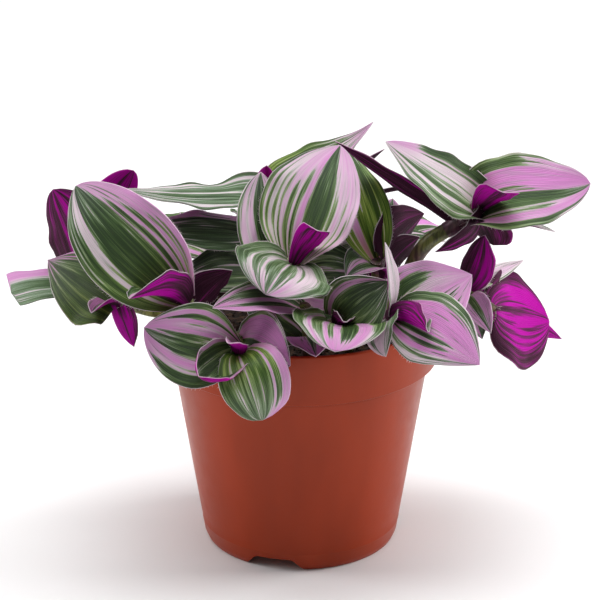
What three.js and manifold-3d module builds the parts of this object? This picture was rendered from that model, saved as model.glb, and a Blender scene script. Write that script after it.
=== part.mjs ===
// Potted tradescantia: a plastic nursery pot, its soil, and leafy shoots that stand in the soil.
// Millimetres, +Z up. The origin is the middle of the pot's base, and the plant's front faces -Y.
import * as THREE from 'three';
import { mergeVertices } from 'three/addons/utils/BufferGeometryUtils.js';
import Module from 'manifold-3d';

const wasm = await Module();
wasm.setup();

// Pot
const POT_HEIGHT = 104.3;
const RIM_RADIUS = 60;
const BAND_HEIGHT = 22.4;
const BAND_LOW_RADIUS = 57.6;
const BODY_TOP_RADIUS = 53.6;
const BODY_LOW_RADIUS = 41.3;
const BASE_RADIUS = 40.1;
const WALL = 1.4;
const LIP = 1.1;
const FLOOR_LIFT = 5.6;
const POT_SEGMENTS = 44;
const NOTCH_WIDTH = 24;
const NOTCH_HEIGHT = 5.2;
const NOTCH_SLOPE = 3.9;
const NOTCH_ANGLES = [-106, 14, 134];
const DRAIN_RADIUS = 4;
const DRAIN_CIRCLE = 24;
const DRAIN_COUNT = 6;
const DRAIN_SIDES = 8;

// Soil
const SOIL_LEVEL = 94.5;
const SOIL_RELIEF = 1.6;
const SOIL_RINGS = 4;
const SOIL_SEGMENTS = 22;
const SEAT_GAP = 0.3;

// Shoots
const BLADE = 0.8;
const STEM_SIDES = 6;
const STEM_STEPS = 2;
const LEAF_ROWS = 5;
const SMALL_LEAF_ROWS = 4;
const SMALL_LEAF_WIDTH = 29;
// The rows of a blade lie closer together toward its tip
const ROW_EASE = 1.3;
const LEAF_COLUMNS = 4;
const FURLED_COLUMNS = 6;
const FURLED_CUP = 1.1;
const TIP_HALF_WIDTH = 0.5;
const TIGHTEST_ROLL = 1.6;
const HANDLE = 0.4;
const BASE_POWER = 0.62;
const CLASP_CURL = 1.3;
const CLASP_LENGTH = 0.25;
const CLASP_ROOM = 2;
const CLASP_SINK = 0.5;

const RADIANS = Math.PI / 180;

// One leaf: the place along the stem's points that it grows from, its tip, the way its upper side
// looks and its width. rise and fall are the degrees that the midrib lifts at the base and drops at
// the tip, and arch makes that bow deeper. cup is half the angle, in radians, that the blade curls
// through across its width. sway bends the blade sideways, clasp widens its foot, and taper sharpens
// its tip.
function leaf(name, at, tip, face, width, shape = {}) {
  return { name, at, tip, face, width, ...shape };
}

function shoot(name, radius, stem, leaves) {
  return { name, radius, stem, leaves };
}

const shoots = [
  shoot('shoot_left_high', 2.6, [[-24, -22, 84], [-34, -34, 104], [-47, -50, 118], [-45, -60, 128]], [
    leaf('a_big', 3, [-88, -46, 171], [-0.2, -0.9, 0.35], 39, { rise: 20, fall: 30, cup: 0.2, taper: 0.66 }),
    leaf('a_young', 3, [-65.5, -84, 138.5], [-0.25, 0.5, 0.85], 26, { rise: 20, fall: 10, cup: 1.1 }),
    leaf('a_right', 2, [-27, -52, 138], [-0.4, 0.8, 0.4], 22, { rise: 10, fall: 20, cup: 0.4 }),
  ]),
  shoot('shoot_left_low', 2.5, [[-38, -12, 84], [-50, -22, 106], [-62, -34, 114], [-73, -42, 121]], [
    leaf('b_big', 3, [-102.6, -22, 131.2], [-0.1, -0.7, 0.7], 38, {
      rise: 20, fall: 30, cup: 0.2, sway: -0.04, clasp: 0.5, taper: 1.1,
    }),
    leaf('b_low', 3, [-66, -57, 107.5], [0.1, 0.9, -0.4], 11, { rise: 10, fall: 5, cup: 1, clasp: 0.2 }),
    leaf('b_young', 3, [-82, -62, 124], [-0.3, 0.1, 0.95], 14, { rise: 10, fall: 10, cup: 0.9 }),
  ]),
  shoot('shoot_left_back', 2.5, [[-34, 4, 84], [-50, 0, 108], [-71, -6, 116], [-86, -14, 125]], [
    leaf('c_up', 3, [-101, -6, 156], [0.3, 0.8, 0.3], 40, {
      rise: 15, fall: 15, cup: 0.3, clasp: 0.5, taper: 0.65,
    }),
    leaf('c_young', 3, [-68.5, 2, 161.5], [-0.2, 0.9, 0.2], 23, {
      rise: 15, fall: 30, cup: 0.6, taper: 0.6,
    }),
    leaf('c_left', 2, [-118, -22, 116.8], [0, -0.2, 1], 26, { rise: -12, fall: 15, cup: 0.2, taper: 0.05 }),
  ]),
  shoot('shoot_top_left', 2.6, [[-12, 8, 84], [-14, 10, 112], [-16, 8, 131], [-15, 10, 148]], [
    leaf('d_long', 3, [-73, -4, 155], [0, 0, 1], 34, { rise: -8, fall: -8, cup: 0.15, clasp: 0.25 }),
    leaf('d_dark', 2, [-68, -8, 137], [0, -0.35, 0.95], 26, { rise: 0, fall: 10, cup: 0.2 }),
    leaf('d_low', 1, [-53, -18, 117], [0, -0.5, 0.85], 28, { rise: 20, fall: 20, cup: 0.25 }),
    leaf('d_top', 3, [30, 16, 178], [-0.25, -0.3, 0.9], 25, {
      rise: 16, fall: -12, cup: 0.3, sway: 0.06, clasp: 0.1, taper: 1.05,
    }),
    leaf('d_young', 3, [-14, 4, 163], [0, 0.9, 0.3], 9, { rise: 5, fall: 5, cup: 1 }),
  ]),
  shoot('shoot_centre', 2.8, [[-2, -14, 84], [-2, -24, 108], [-3, -34, 126], [-3, -42, 138]], [
    leaf('e_big', 3, [16, -10, 176], [-0.25, -0.85, 0.45], 41, { rise: 20, fall: 30, cup: 0.3 }),
    leaf('e_left', 2, [-16, -17, 167], [0.5, -0.85, 0.3], 32, { rise: 20, fall: 25, cup: 0.4, sway: -0.2 }),
    leaf('e_front', 3, [-13.5, -71, 135], [0.3, -0.3, 0.95], 41, {
      rise: 15, fall: 45, cup: 0.05, taper: 0.6,
    }),
    leaf('e_young', 3, [6.5, -53, 155], [0.1, 0.8, 0.5], 14, {
      rise: 5, fall: 5, cup: 0.8, clasp: 0.1, taper: 0.12,
    }),
    leaf('e_right', 2, [27, -22, 124], [-0.1, -0.9, 0.4], 33, { rise: 20, fall: 10, cup: 0.2 }),
  ]),
  shoot('shoot_centre_right', 2.6, [[26, -6, 84], [29, -14, 108], [31, -20, 122], [31, -24, 132]], [
    leaf('f_tall', 3, [18.5, 6, 169.5], [0.2, -0.9, 0.4], 24, { rise: 20, fall: 20, cup: 0.2, sway: -0.06 }),
    leaf('f_arch', 2, [18, -44, 132], [0, -0.4, 0.9], 22, { rise: 50, fall: 40, cup: 0.5 }),
    leaf('f_dark', 3, [51, 4, 142], [0.2, 0.9, 0.3], 29, { rise: 10, fall: 10, cup: 0.5 }),
    leaf('f_low', 2, [49, -2, 134], [0.2, 0.8, 0.4], 20, { rise: 10, fall: 10, cup: 0.4 }),
  ]),
  shoot('shoot_front_middle', 2.6, [[18, -22, 84], [20, -38, 108], [18, -50, 115], [15, -58, 118]], [
    leaf('g_outer', 3, [13, -90, 119], [0.1, -0.3, 0.95], 38, {
      rise: 15, fall: 30, cup: 0.45, clasp: 0.12, taper: 0.5,
    }),
    leaf('g_inner', 3, [34.5, -60, 136.5], [-0.35, -0.85, 0.3], 28, {
      rise: 25, fall: 0, cup: 0.55, clasp: 0.1,
    }),
    leaf('g_young', 3, [17, -72, 124], [0.3, 0.4, 0.8], 12, { rise: 5, fall: 5, cup: 1.4 }),
    leaf('g_right', 2, [31, -66, 112], [0.2, -0.7, 0.7], 16, { rise: 15, fall: 20, cup: 0.3 }),
  ]),
  shoot('shoot_front_right', 2.6, [[30, -26, 84], [34, -40, 106], [36, -52, 114], [36, -62, 123]], [
    leaf('h_big', 3, [69, -84, 111], [0.1, -0.85, 0.5], 31, { rise: 20, fall: 20, cup: -0.25, sway: -0.08 }),
    leaf('h_back', 2, [68, -44, 133], [-0.1, -0.75, 0.65], 35, { rise: 25, fall: 20, cup: 0.25 }),
    leaf('h_young', 3, [49, -82, 124], [0.85, -0.1, 0.5], 20, { rise: 5, fall: 5, cup: 2.2 }),
    leaf('h_edge', 3, [32.5, -67, 155], [0.9, -0.4, 0], 11, { rise: 5, fall: 5, cup: 0.4 }),
    leaf('h_down', 3, [33, -78, 112], [-0.8, -0.5, 0.3], 20, { rise: 30, fall: 30, cup: 0.3 }),
  ]),
  shoot('shoot_right_high', 3.3, [
    [38, 2, 84], [43, -10, 117], [51, -20, 137.5], [64, -21, 147], [72, -22, 154],
  ], [
    leaf('i_pale', 4, [33.5, -30, 184], [-0.2, -0.5, 0.85], 28, {
      rise: 0, fall: 2, cup: 0.3, sway: -0.03, clasp: 0.35, taper: 0.78,
    }),
    leaf('i_big', 4, [115.7, -26, 165.3], [0, -0.6, 0.8], 37, {
      rise: 34, fall: -15, cup: 0.3, clasp: 0.38, taper: 0.62,
    }),
    leaf('i_flat', 3.2, [103, -20, 142.6], [0, 0.12, 0.95], 18, { rise: 10, fall: 10, cup: 0.2 }),
    leaf('i_young', 3.8, [79.5, -42, 167], [0.2, 0.5, 0.85], 17, {
      rise: 5, fall: 5, cup: 0.5, taper: 0.12,
    }),
    leaf('i_long', 3, [14, -7.5, 177], [0.3, 0.6, 0.75], 17, { rise: -6, fall: -3, cup: 0.5 }),
    leaf('i_low', 4, [54, -31, 138], [-0.2, 0.7, 0.7], 18, { rise: -50, fall: -30, arch: 1.2, cup: 0.3 }),
    leaf('i_lobe', 3.5, [79, -8, 132.5], [0.5, 0.6, 0.6], 23, { rise: 20, fall: 20, cup: 0.3, taper: 0.35 }),
  ]),
  shoot('shoot_right_low', 2.8, [[42, 10, 84], [54, 0, 110], [67, -10, 113], [79, -14, 105]], [
    leaf('j_up', 2, [75, -14, 139], [0.6, 0.7, 0.1], 18, { rise: 10, fall: 10, cup: 0.9 }),
    leaf('j_big', 3, [106, 19.5, 88], [-0.82, 0.41, -0.4], 44, {
      rise: 5, fall: 15, cup: 0.15, taper: 0.55,
    }),
    leaf('j_back', 2, [95, 28, 112.5], [-0.3, -0.8, 0.3], 8, { rise: 5, fall: 5, cup: 0.4 }),
    leaf('j_far', 2, [113.5, 36, 73], [-0.7, 0.7, 0.2], 15, { rise: 5, fall: 5, cup: 0.3 }),
    leaf('j_small', 2, [77, -34, 104], [0, -0.7, 0.7], 13, { rise: 15, fall: 20, cup: 0.3 }),
    leaf('j_under', 2, [74, -28, 99], [0, -0.7, 0.7], 14, { rise: 10, fall: 20, cup: 0.3 }),
  ]),
  shoot('shoot_front_left', 2.6, [[-18, -32, 84], [-23, -47, 107], [-25, -61, 112], [-24, -70, 111]], [
    leaf('k_big', 3, [-61, -70, 121], [-0.1, -0.95, 0.35], 34, {
      rise: 8, fall: 15, cup: 0.15, sway: -0.06, taper: 0.7,
    }),
    leaf('k_cup', 3, [-39, -94, 110.5], [-0.3, -0.9, 0.4], 24, {
      rise: -15, fall: -45, cup: 1.3, clasp: 0.15, taper: 0.6,
    }),
    leaf('k_young', 3, [-28, -86, 121], [0.3, 0.3, 0.9], 10, { rise: 5, fall: 5, cup: 1 }),
    leaf('k_front', 3, [-15, -80, 86], [0, -0.9, 0.4], 28, {
      rise: 80, fall: 60, arch: 1.5, cup: 0.1, sway: -0.1, taper: 0.6,
    }),
    leaf('k_right', 2.3, [-4, -81, 109.5], [0, -0.9, 0.4], 33, { rise: 18, fall: 25, cup: 0.2 }),
  ]),
  shoot('shoot_front', 2.5, [[2, -30, 84], [3, -44, 106], [1, -51, 122]], [
    leaf('l_left', 2, [-34, -75, 131], [0, -0.3, 0.92], 23, { rise: 15, fall: 15, cup: 0.3 }),
    leaf('l_under', 1, [-23, -34, 119], [-0.2, -0.6, 0.8], 22, { rise: 20, fall: 20, cup: 0.2 }),
    leaf('l_low', 1, [6, -66, 107], [0, -0.5, 0.8], 20, { rise: 30, fall: 30, cup: 0.2 }),
  ]),
  shoot('shoot_back_left', 2.5, [[-26, 22, 84], [-34, 34, 108], [-42, 46, 116]], [
    leaf('m_out', 2, [-80, 60, 110], [-0.2, 0.1, 1], 32, { rise: 20, fall: 35, cup: 0.25 }),
    leaf('m_back', 1, [-46, 86, 106], [0, 0.2, 1], 32, { rise: 25, fall: 40, cup: 0.25 }),
    leaf('m_young', 2, [-52, 60, 122], [0.3, -0.2, 0.9], 20, { rise: 10, fall: 10, cup: 1.2 }),
    leaf('m_side', 1, [-74, 24, 114], [-0.2, -0.1, 1], 26, { rise: 25, fall: 30, cup: 0.3 }),
  ]),
  shoot('shoot_back', 2.5, [[-4, 28, 84], [-6, 44, 108], [-8, 60, 114]], [
    leaf('n_out', 2, [-24, 95, 106], [-0.1, 0.3, 1], 32, { rise: 30, fall: 45, cup: 0.25 }),
    leaf('n_right', 1, [12, 86, 110], [0.2, 0.2, 1], 28, { rise: 25, fall: 35, cup: 0.25 }),
    leaf('n_young', 2, [-2, 72, 130], [0.1, -0.5, 0.8], 18, { rise: 5, fall: 5, cup: 1.3 }),
    leaf('n_left', 1, [-30, 64, 118], [-0.2, 0, 1], 24, { rise: 20, fall: 25, cup: 0.3 }),
  ]),
  shoot('shoot_back_right', 2.5, [[20, 22, 84], [28, 34, 108], [36, 46, 115]], [
    leaf('o_out', 2, [70, 64, 108], [0.2, 0.2, 1], 30, { rise: 25, fall: 40, cup: 0.25 }),
    leaf('o_side', 1, [62, 36, 118], [0.3, 0, 1], 26, { rise: 25, fall: 30, cup: 0.25 }),
    leaf('o_young', 2, [40, 58, 130], [0.2, -0.3, 0.9], 18, { rise: 5, fall: 5, cup: 1.3 }),
    leaf('o_back', 1, [48, 84, 104], [0, 0.3, 1], 28, { rise: 25, fall: 40, cup: 0.25 }),
  ]),
  shoot('shoot_back_middle', 2.6, [[4, 14, 84], [6, 20, 114], [6, 26, 132]], [
    leaf('p_back', 2, [4, 66, 138], [0, 0, 1], 32, { rise: 25, fall: 35, cup: 0.3 }),
    leaf('p_left', 2, [-30, 40, 126], [-0.1, 0, 1], 28, { rise: 20, fall: 30, cup: 0.3 }),
    leaf('p_right', 2, [57, 26, 146], [0, 0.3, 1], 20, { rise: 10, fall: 15, cup: 0.3 }),
    leaf('p_young', 2, [8, 34, 154], [0, -0.6, 0.6], 18, { rise: 5, fall: 5, cup: 1.3 }),
    leaf('p_high', 2, [35, 24, 163.5], [-0.5, 0.5, 0.7], 16, { rise: 10, fall: 10, cup: 0.3 }),
    leaf('p_low', 1, [40, 26, 122], [0.2, 0, 1], 24, { rise: 15, fall: 25, cup: 0.3 }),
  ]),
];

function vector([x, y, z]) {
  return new THREE.Vector3(x, y, z);
}

function solid(geometry) {
  const bare = geometry.clone();
  bare.deleteAttribute('normal');
  bare.deleteAttribute('uv');
  const merged = mergeVertices(bare, 1e-4);
  return new wasm.Manifold(new wasm.Mesh({
    numProp: 3,
    vertProperties: Float32Array.from(merged.attributes.position.array),
    triVerts: Uint32Array.from(merged.index.array),
  }));
}

// Joined leaves can close off a pocket or leave a crumb: only the body itself is kept.
function mainBody(joined) {
  return joined.decompose().reduce((a, b) => (b.volume() > a.volume() ? b : a));
}

function geometryOf(body) {
  const mesh = body.getMesh();
  const geometry = new THREE.BufferGeometry();
  geometry.setAttribute('position', new THREE.BufferAttribute(mesh.vertProperties, 3));
  geometry.setIndex(new THREE.BufferAttribute(mesh.triVerts, 1));
  geometry.computeVertexNormals();
  return geometry;
}

// Pot

function potProfile() {
  const bandLow = POT_HEIGHT - BAND_HEIGHT;
  const floorTop = FLOOR_LIFT + WALL;
  const points = [
    [0, FLOOR_LIFT],
    [BASE_RADIUS - 3, FLOOR_LIFT],
    [BASE_RADIUS - 2.2, 0],
    [BASE_RADIUS, 0],
    [BODY_LOW_RADIUS, 3],
    [BODY_TOP_RADIUS, bandLow - 1.2],
    [BAND_LOW_RADIUS, bandLow],
    [RIM_RADIUS, POT_HEIGHT - LIP],
    [RIM_RADIUS - 0.4, POT_HEIGHT],
    [RIM_RADIUS - WALL - 0.3, POT_HEIGHT],
    [RIM_RADIUS - WALL - 0.6, POT_HEIGHT - LIP],
    [BAND_LOW_RADIUS - WALL, bandLow + WALL + 0.6],
    [BODY_TOP_RADIUS - WALL, bandLow + WALL - 0.6],
    [BODY_LOW_RADIUS - WALL - 0.2, floorTop + 2],
    [BODY_LOW_RADIUS - WALL - 2, floorTop],
    [0, floorTop],
  ];
  return points.map(([x, y]) => new THREE.Vector2(x, y));
}

function lathe(profile, segments) {
  const geometry = new THREE.LatheGeometry(profile, segments);
  geometry.rotateX(Math.PI / 2);
  return geometry;
}

function notch(angle) {
  const outline = new THREE.Shape([
    new THREE.Vector2(-NOTCH_WIDTH / 2, -1),
    new THREE.Vector2(NOTCH_WIDTH / 2, -1),
    new THREE.Vector2(NOTCH_WIDTH / 2 - NOTCH_SLOPE, NOTCH_HEIGHT),
    new THREE.Vector2(-NOTCH_WIDTH / 2 + NOTCH_SLOPE, NOTCH_HEIGHT),
  ]);
  const cut = new THREE.ExtrudeGeometry(outline, { depth: 12, bevelEnabled: false });
  cut.rotateX(Math.PI / 2);
  cut.translate(0, -BASE_RADIUS + 5, 0);
  cut.rotateZ((angle + 90) * RADIANS);
  return cut;
}

function drain(index) {
  const hole = new THREE.CylinderGeometry(DRAIN_RADIUS, DRAIN_RADIUS, 3 * WALL, DRAIN_SIDES);
  hole.rotateX(Math.PI / 2);
  const angle = (index + 0.5) * 2 * Math.PI / DRAIN_COUNT;
  hole.translate(DRAIN_CIRCLE * Math.cos(angle), DRAIN_CIRCLE * Math.sin(angle), FLOOR_LIFT + WALL / 2);
  return hole;
}

function potSolid() {
  let pot = solid(lathe(potProfile(), POT_SEGMENTS));
  for (const angle of NOTCH_ANGLES) {
    pot = pot.subtract(solid(notch(angle)));
  }
  for (let i = 0; i < DRAIN_COUNT; i += 1) {
    pot = pot.subtract(solid(drain(i)));
  }
  return pot;
}

// Soil: a plug that fills the pot, with a crumbly top and a plain hole for each stem

function soilRelief(x, y) {
  const coarse = Math.sin(0.21 * x + 1.3) * Math.cos(0.17 * y - 0.4);
  const fine = Math.sin(0.53 * x - 0.37 * y) * Math.cos(0.44 * y + 0.31 * x + 2);
  return SOIL_RELIEF * (0.6 * coarse + 0.4 * fine);
}

function soilWall(z) {
  const low = FLOOR_LIFT + WALL;
  const bandLow = POT_HEIGHT - BAND_HEIGHT;
  if (z <= bandLow) {
    const share = (z - low) / (bandLow - low);
    return BODY_LOW_RADIUS - WALL + share * (BODY_TOP_RADIUS - BODY_LOW_RADIUS);
  }
  return BAND_LOW_RADIUS - WALL;
}

function soilPlug() {
  const low = FLOOR_LIFT + WALL + SEAT_GAP;
  const bandLow = POT_HEIGHT - BAND_HEIGHT;
  const topRadius = BAND_LOW_RADIUS - WALL - SEAT_GAP - 0.2;
  const profile = [
    new THREE.Vector2(0, low),
    new THREE.Vector2(soilWall(low) - 2.6, low),
    new THREE.Vector2(soilWall(low + 3) - SEAT_GAP - 0.5, low + 3),
    new THREE.Vector2(BODY_TOP_RADIUS - WALL - SEAT_GAP - 0.4, bandLow - 1.5),
    new THREE.Vector2(BODY_TOP_RADIUS - WALL - SEAT_GAP - 0.2, bandLow + WALL),
    new THREE.Vector2(topRadius, bandLow + WALL + 2.5),
    new THREE.Vector2(topRadius, SOIL_LEVEL - 0.5),
  ];
  for (let ring = SOIL_RINGS - 1; ring >= 0; ring -= 1) {
    profile.push(new THREE.Vector2(topRadius * ring / SOIL_RINGS, SOIL_LEVEL));
  }
  const plug = lathe(profile, SOIL_SEGMENTS);
  const place = plug.attributes.position;
  for (let i = 0; i < place.count; i += 1) {
    if (place.getZ(i) > SOIL_LEVEL - 0.1) {
      place.setZ(i, SOIL_LEVEL + soilRelief(place.getX(i), place.getY(i)));
    }
  }
  return plug;
}

function soilSolid() {
  let soil = solid(soilPlug());
  for (const each of shoots) {
    soil = soil.subtract(solid(stemTube(each, each.radius + SEAT_GAP, SEAT_GAP)));
  }
  return mainBody(soil);
}

// Shoots

function stemCurve({ stem }) {
  return new THREE.CatmullRomCurve3(stem.map(vector));
}

function leafBase(each, spec) {
  return stemCurve(each).getPoint(spec.at / (each.stem.length - 1));
}

function stemTube(each, tubeRadius = each.radius, deeper = 0) {
  const points = each.stem.map(vector);
  const down = points[0].clone().sub(points[1]).normalize();
  points[0].addScaledVector(down, deeper);
  const section = new THREE.Shape();
  section.absarc(0, 0, tubeRadius, 0, 2 * Math.PI);
  return new THREE.ExtrudeGeometry(section, {
    extrudePath: new THREE.CatmullRomCurve3(points),
    steps: STEM_STEPS * (points.length - 1),
    curveSegments: STEM_SIDES / 2,
  });
}

function outline(v, clasp, taper) {
  const widest = (BASE_POWER - taper * clasp) / (BASE_POWER + taper);
  const shape = (s) => (s + clasp) ** BASE_POWER * (1 - s) ** taper;
  return shape(v) / shape(widest);
}

// The blade's middle surface: a point and its normal for u across, -1 to 1, and v along, 0 to 1
function bladeSurface(spec, base, stemRadius) {
  const { rise = 15, fall = 20, arch = 1, cup = 0.25, sway = 0, clasp = 0.04, taper = 0.87 } = spec;
  const tip = vector(spec.tip);
  const along = tip.clone().sub(base);
  const length = along.length();
  along.normalize();
  const side = along.clone().cross(vector(spec.face)).normalize();
  const out = side.clone().cross(along);
  const handle = HANDLE * arch * length;
  const swing = side.clone().multiplyScalar(sway * length);
  const first = base.clone().add(swing)
    .addScaledVector(along, handle * Math.cos(rise * RADIANS))
    .addScaledVector(out, handle * Math.sin(rise * RADIANS));
  const second = tip.clone().add(swing)
    .addScaledVector(along, -handle * Math.cos(fall * RADIANS))
    .addScaledVector(out, handle * Math.sin(fall * RADIANS));
  const midrib = new THREE.CubicBezierCurve3(base, first, second, tip);
  const halfWidth = (v) => Math.max(TIP_HALF_WIDTH, spec.width / 2 * outline(v, clasp, taper));
  const cupBase = Math.min(CLASP_CURL, halfWidth(0) / (stemRadius + CLASP_ROOM));

  return (u, v) => {
    const half = halfWidth(v);
    const opened = THREE.MathUtils.lerp(cupBase, cup, THREE.MathUtils.smoothstep(v, 0, CLASP_LENGTH));
    const curl = THREE.MathUtils.clamp(opened, -half / TIGHTEST_ROLL, half / TIGHTEST_ROLL);
    const ahead = midrib.getTangent(v);
    const across = side.clone().addScaledVector(ahead, -side.dot(ahead)).normalize();
    const up = across.clone().cross(ahead);
    const angle = u * curl;
    const roll = half / (Math.abs(curl) < 1e-3 ? 1e-3 : curl);
    const foot = CLASP_SINK * stemRadius * (1 - THREE.MathUtils.smoothstep(v, 0, CLASP_LENGTH));
    const point = midrib.getPoint(v)
      .addScaledVector(across, roll * Math.sin(angle))
      .addScaledVector(up, roll * (1 - Math.cos(angle)) - foot);
    const normal = up.clone().multiplyScalar(Math.cos(angle)).addScaledVector(across, -Math.sin(angle));
    return { point, normal };
  };
}

// Both faces are split into triangles alike, so that a curled blade never crosses itself
function bladeGeometry(spec, base, stemRadius) {
  const surface = bladeSurface(spec, base, stemRadius);
  const columns = (spec.cup ?? 0) > FURLED_CUP ? FURLED_COLUMNS : LEAF_COLUMNS;
  const rows = spec.width < SMALL_LEAF_WIDTH ? SMALL_LEAF_ROWS : LEAF_ROWS;
  const positions = [];
  for (const faceSide of [0.5, -0.5]) {
    for (let j = 0; j <= rows; j += 1) {
      for (let i = 0; i <= columns; i += 1) {
        const { point, normal } = surface(2 * i / columns - 1, 1 - (1 - j / rows) ** ROW_EASE);
        positions.push(...point.addScaledVector(normal, faceSide * BLADE).toArray());
      }
    }
  }
  const perRow = columns + 1;
  const perFace = perRow * (rows + 1);
  const index = [];
  const quad = (a, b, c, d) => index.push(a, b, c, a, c, d);
  for (let j = 0; j < rows; j += 1) {
    for (let i = 0; i < columns; i += 1) {
      const a = j * perRow + i;
      const [b, c, d] = [a + 1, a + perRow + 1, a + perRow];
      quad(a, b, c, d);
      index.push(a + perFace, c + perFace, b + perFace);
      index.push(a + perFace, d + perFace, c + perFace);
    }
  }
  const edge = (a, b) => quad(b, a, a + perFace, b + perFace);
  for (let j = 0; j < rows; j += 1) {
    edge((j + 1) * perRow, j * perRow);
    edge(j * perRow + columns, (j + 1) * perRow + columns);
  }
  for (let i = 0; i < columns; i += 1) {
    edge(i, i + 1);
    edge(rows * perRow + i + 1, rows * perRow + i);
  }
  const geometry = new THREE.BufferGeometry();
  geometry.setAttribute('position', new THREE.Float32BufferAttribute(positions, 3));
  geometry.setIndex(index);
  return geometry;
}

function shootSolid(each) {
  let body = solid(stemTube(each));
  for (const spec of each.leaves) {
    body = body.add(solid(bladeGeometry(spec, leafBase(each, spec), each.radius)));
  }
  return mainBody(body);
}

// Materials

const plastic = new THREE.MeshStandardMaterial({ color: 0x9c4a35, roughness: 0.42, metalness: 0 });
const compost = new THREE.MeshStandardMaterial({ color: 0x2b211c, roughness: 0.95, metalness: 0 });
const foliage = new THREE.MeshStandardMaterial({ color: 0x7c6f78, roughness: 0.5, metalness: 0 });

function piece(name, body, material) {
  const mesh = new THREE.Mesh(geometryOf(body), material);
  mesh.name = name;
  return mesh;
}

const group = new THREE.Group();
group.add(piece('pot', potSolid(), plastic));
group.add(piece('soil', soilSolid(), compost));
for (const each of shoots) {
  group.add(piece(each.name, shootSolid(each), foliage));
}

export default group;
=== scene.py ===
import math

import bpy
import numpy as np
from bpy.props import FloatProperty, FloatVectorProperty, IntProperty, PointerProperty
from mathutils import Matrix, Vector, noise


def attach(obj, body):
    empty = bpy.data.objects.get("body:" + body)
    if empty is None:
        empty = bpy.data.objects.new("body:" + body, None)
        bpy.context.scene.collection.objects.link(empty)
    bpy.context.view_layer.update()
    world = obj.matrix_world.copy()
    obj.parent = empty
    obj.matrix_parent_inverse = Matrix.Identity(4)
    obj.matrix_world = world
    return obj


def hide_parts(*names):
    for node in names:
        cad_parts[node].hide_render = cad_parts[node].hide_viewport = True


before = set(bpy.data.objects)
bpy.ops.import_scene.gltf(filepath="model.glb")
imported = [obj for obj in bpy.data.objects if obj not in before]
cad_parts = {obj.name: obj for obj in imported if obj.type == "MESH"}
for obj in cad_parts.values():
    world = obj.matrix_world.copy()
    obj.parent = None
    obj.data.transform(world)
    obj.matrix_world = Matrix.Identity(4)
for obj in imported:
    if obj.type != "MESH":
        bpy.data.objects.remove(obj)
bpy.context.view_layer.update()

bl_info = {
    "name": "Potted tradescantia",
    "version": (1, 0, 0),
    "blender": (4, 5, 0),
    "location": "3D View > Sidebar > Plant",
    "description": "Makes the pot, the soil, the leafy shoots and the stage of a potted tradescantia",
    "category": "Object",
}

MM = 0.001
BODY = "root"

# Pot: the lip's radius is a share of the wall, the wall eases into the rim band over a short height,
# edges that turn by more than an angle stay sharp, and drain holes are cut between two heights
BAND_HEIGHT = 22.4
BAND_LOW_RADIUS = 57.6
BAND_EASE = 1.2
BODY_TOP_RADIUS = 53.6
BODY_LOW_RADIUS = 41.3
BODY_LOW_HEIGHT = 3
BASE_RADIUS = 40.1
FLOOR_LIFT = 5.6
LIP_SHARE = 0.62
POT_SEGMENTS = 160
POT_SHARP_ANGLE = 38
NOTCH_WIDTH = 24
NOTCH_HEIGHT = 5.2
NOTCH_SLOPE = 3.9
NOTCH_ROUND = 1.1
NOTCH_ANGLES = (-106, 14, 134)
DRAIN_RADIUS = 4
DRAIN_CIRCLE = 24
DRAIN_COUNT = 6
DRAIN_SEGMENTS = 28
DRAIN_CUT = (2, 8)

# Heights at which the body's wall is drawn, and how far it stands out: a faint ring left by the mould
MOULD_RING = ((3, 0), (7.3, 0), (7.6, 0.1), (8.0, 0.1), (8.3, 0), (12, 0), (30, 0), (55, 0))

# Soil, and its crumbs: their least and greatest scale, and their greatest turn in radians
SOIL_RELIEF = 1.6
SOIL_LUMPS = 0.5
SOIL_RINGS = 44
SOIL_SEGMENTS = 128
SEAT_GAP = 0.3
CRUMB_LEAST = (0.35, 0.3, 0.25)
CRUMB_GREATEST = (1.5, 1.2, 0.9)
CRUMB_TURN = (6.28, 6.28, 6.28)
CRUMB_SCALE_SEED = 11

# Leaves: the same surface as the solids have, more finely divided. Curls are in radians. The clasp's
# length is a share of the blade's, its sink one of the stem's radius, and the midrib's width one of
# half the blade's. Where a leaf isn't broad, its waves and its midrib are smaller. The seed goes up
# by a step from leaf to leaf, unless a leaf's row has its own
TIP_HALF_WIDTH = 0.15
TIGHTEST_ROLL = 1.6
FLATTEST_CURL = 0.001
HANDLE = 0.4
BASE_POWER = 0.62
CLASP_CURL = 1.3
CLASP_LENGTH = 0.25
CLASP_ROOM = 2
CLASP_SINK = 0.5
COLUMN_STEP = 0.9
ROW_STEP = 1.7
BROAD_LEAF = 30
MIDRIB_SHARE = 0.09
SEED_STEP = 0.37

# Stems and sheaths, as shares of the stem's radius and length: how slim a stem is between leaves, how
# much and how far it swells at one, how much thinner it ends, and how far a sheath's mouth flares
STEM_STEPS = 40
STEM_SIDES = 20
STEM_SLIM = 0.94
STEM_SWELLING = 0.1
STEM_SWELLING_LENGTH = 0.03
STEM_THINNING = 0.35
SHEATH_LENGTH = 9
SHEATH_STEPS = 8
SHEATH_FLARE = 0.22
SHEATH_FLUSH = 0.25

# Hairs: where they stand on a margin, as shares of the leaf's length, and how many on a sheath
HAIRY_STRETCH = (0.03, 0.45)
HAIRY_SHARE = 0.4
MOUTH_HAIRS = 26

# Stripes: how far a band's edge wanders and how softly a tone ends, as shares of the leaf, where a
# pink tip begins, how much green it loses and how pink it gets, and how green and pink a leaf is
# beyond the end of a tone
BAND_WANDER = 0.035
TONE_BLUR = 0.13
TIP_START = 0.55
TIP_LOSS = 0.55
TIP_BLUSH = 0.75
FADED_TONE = (0.04, 0.55)

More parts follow.
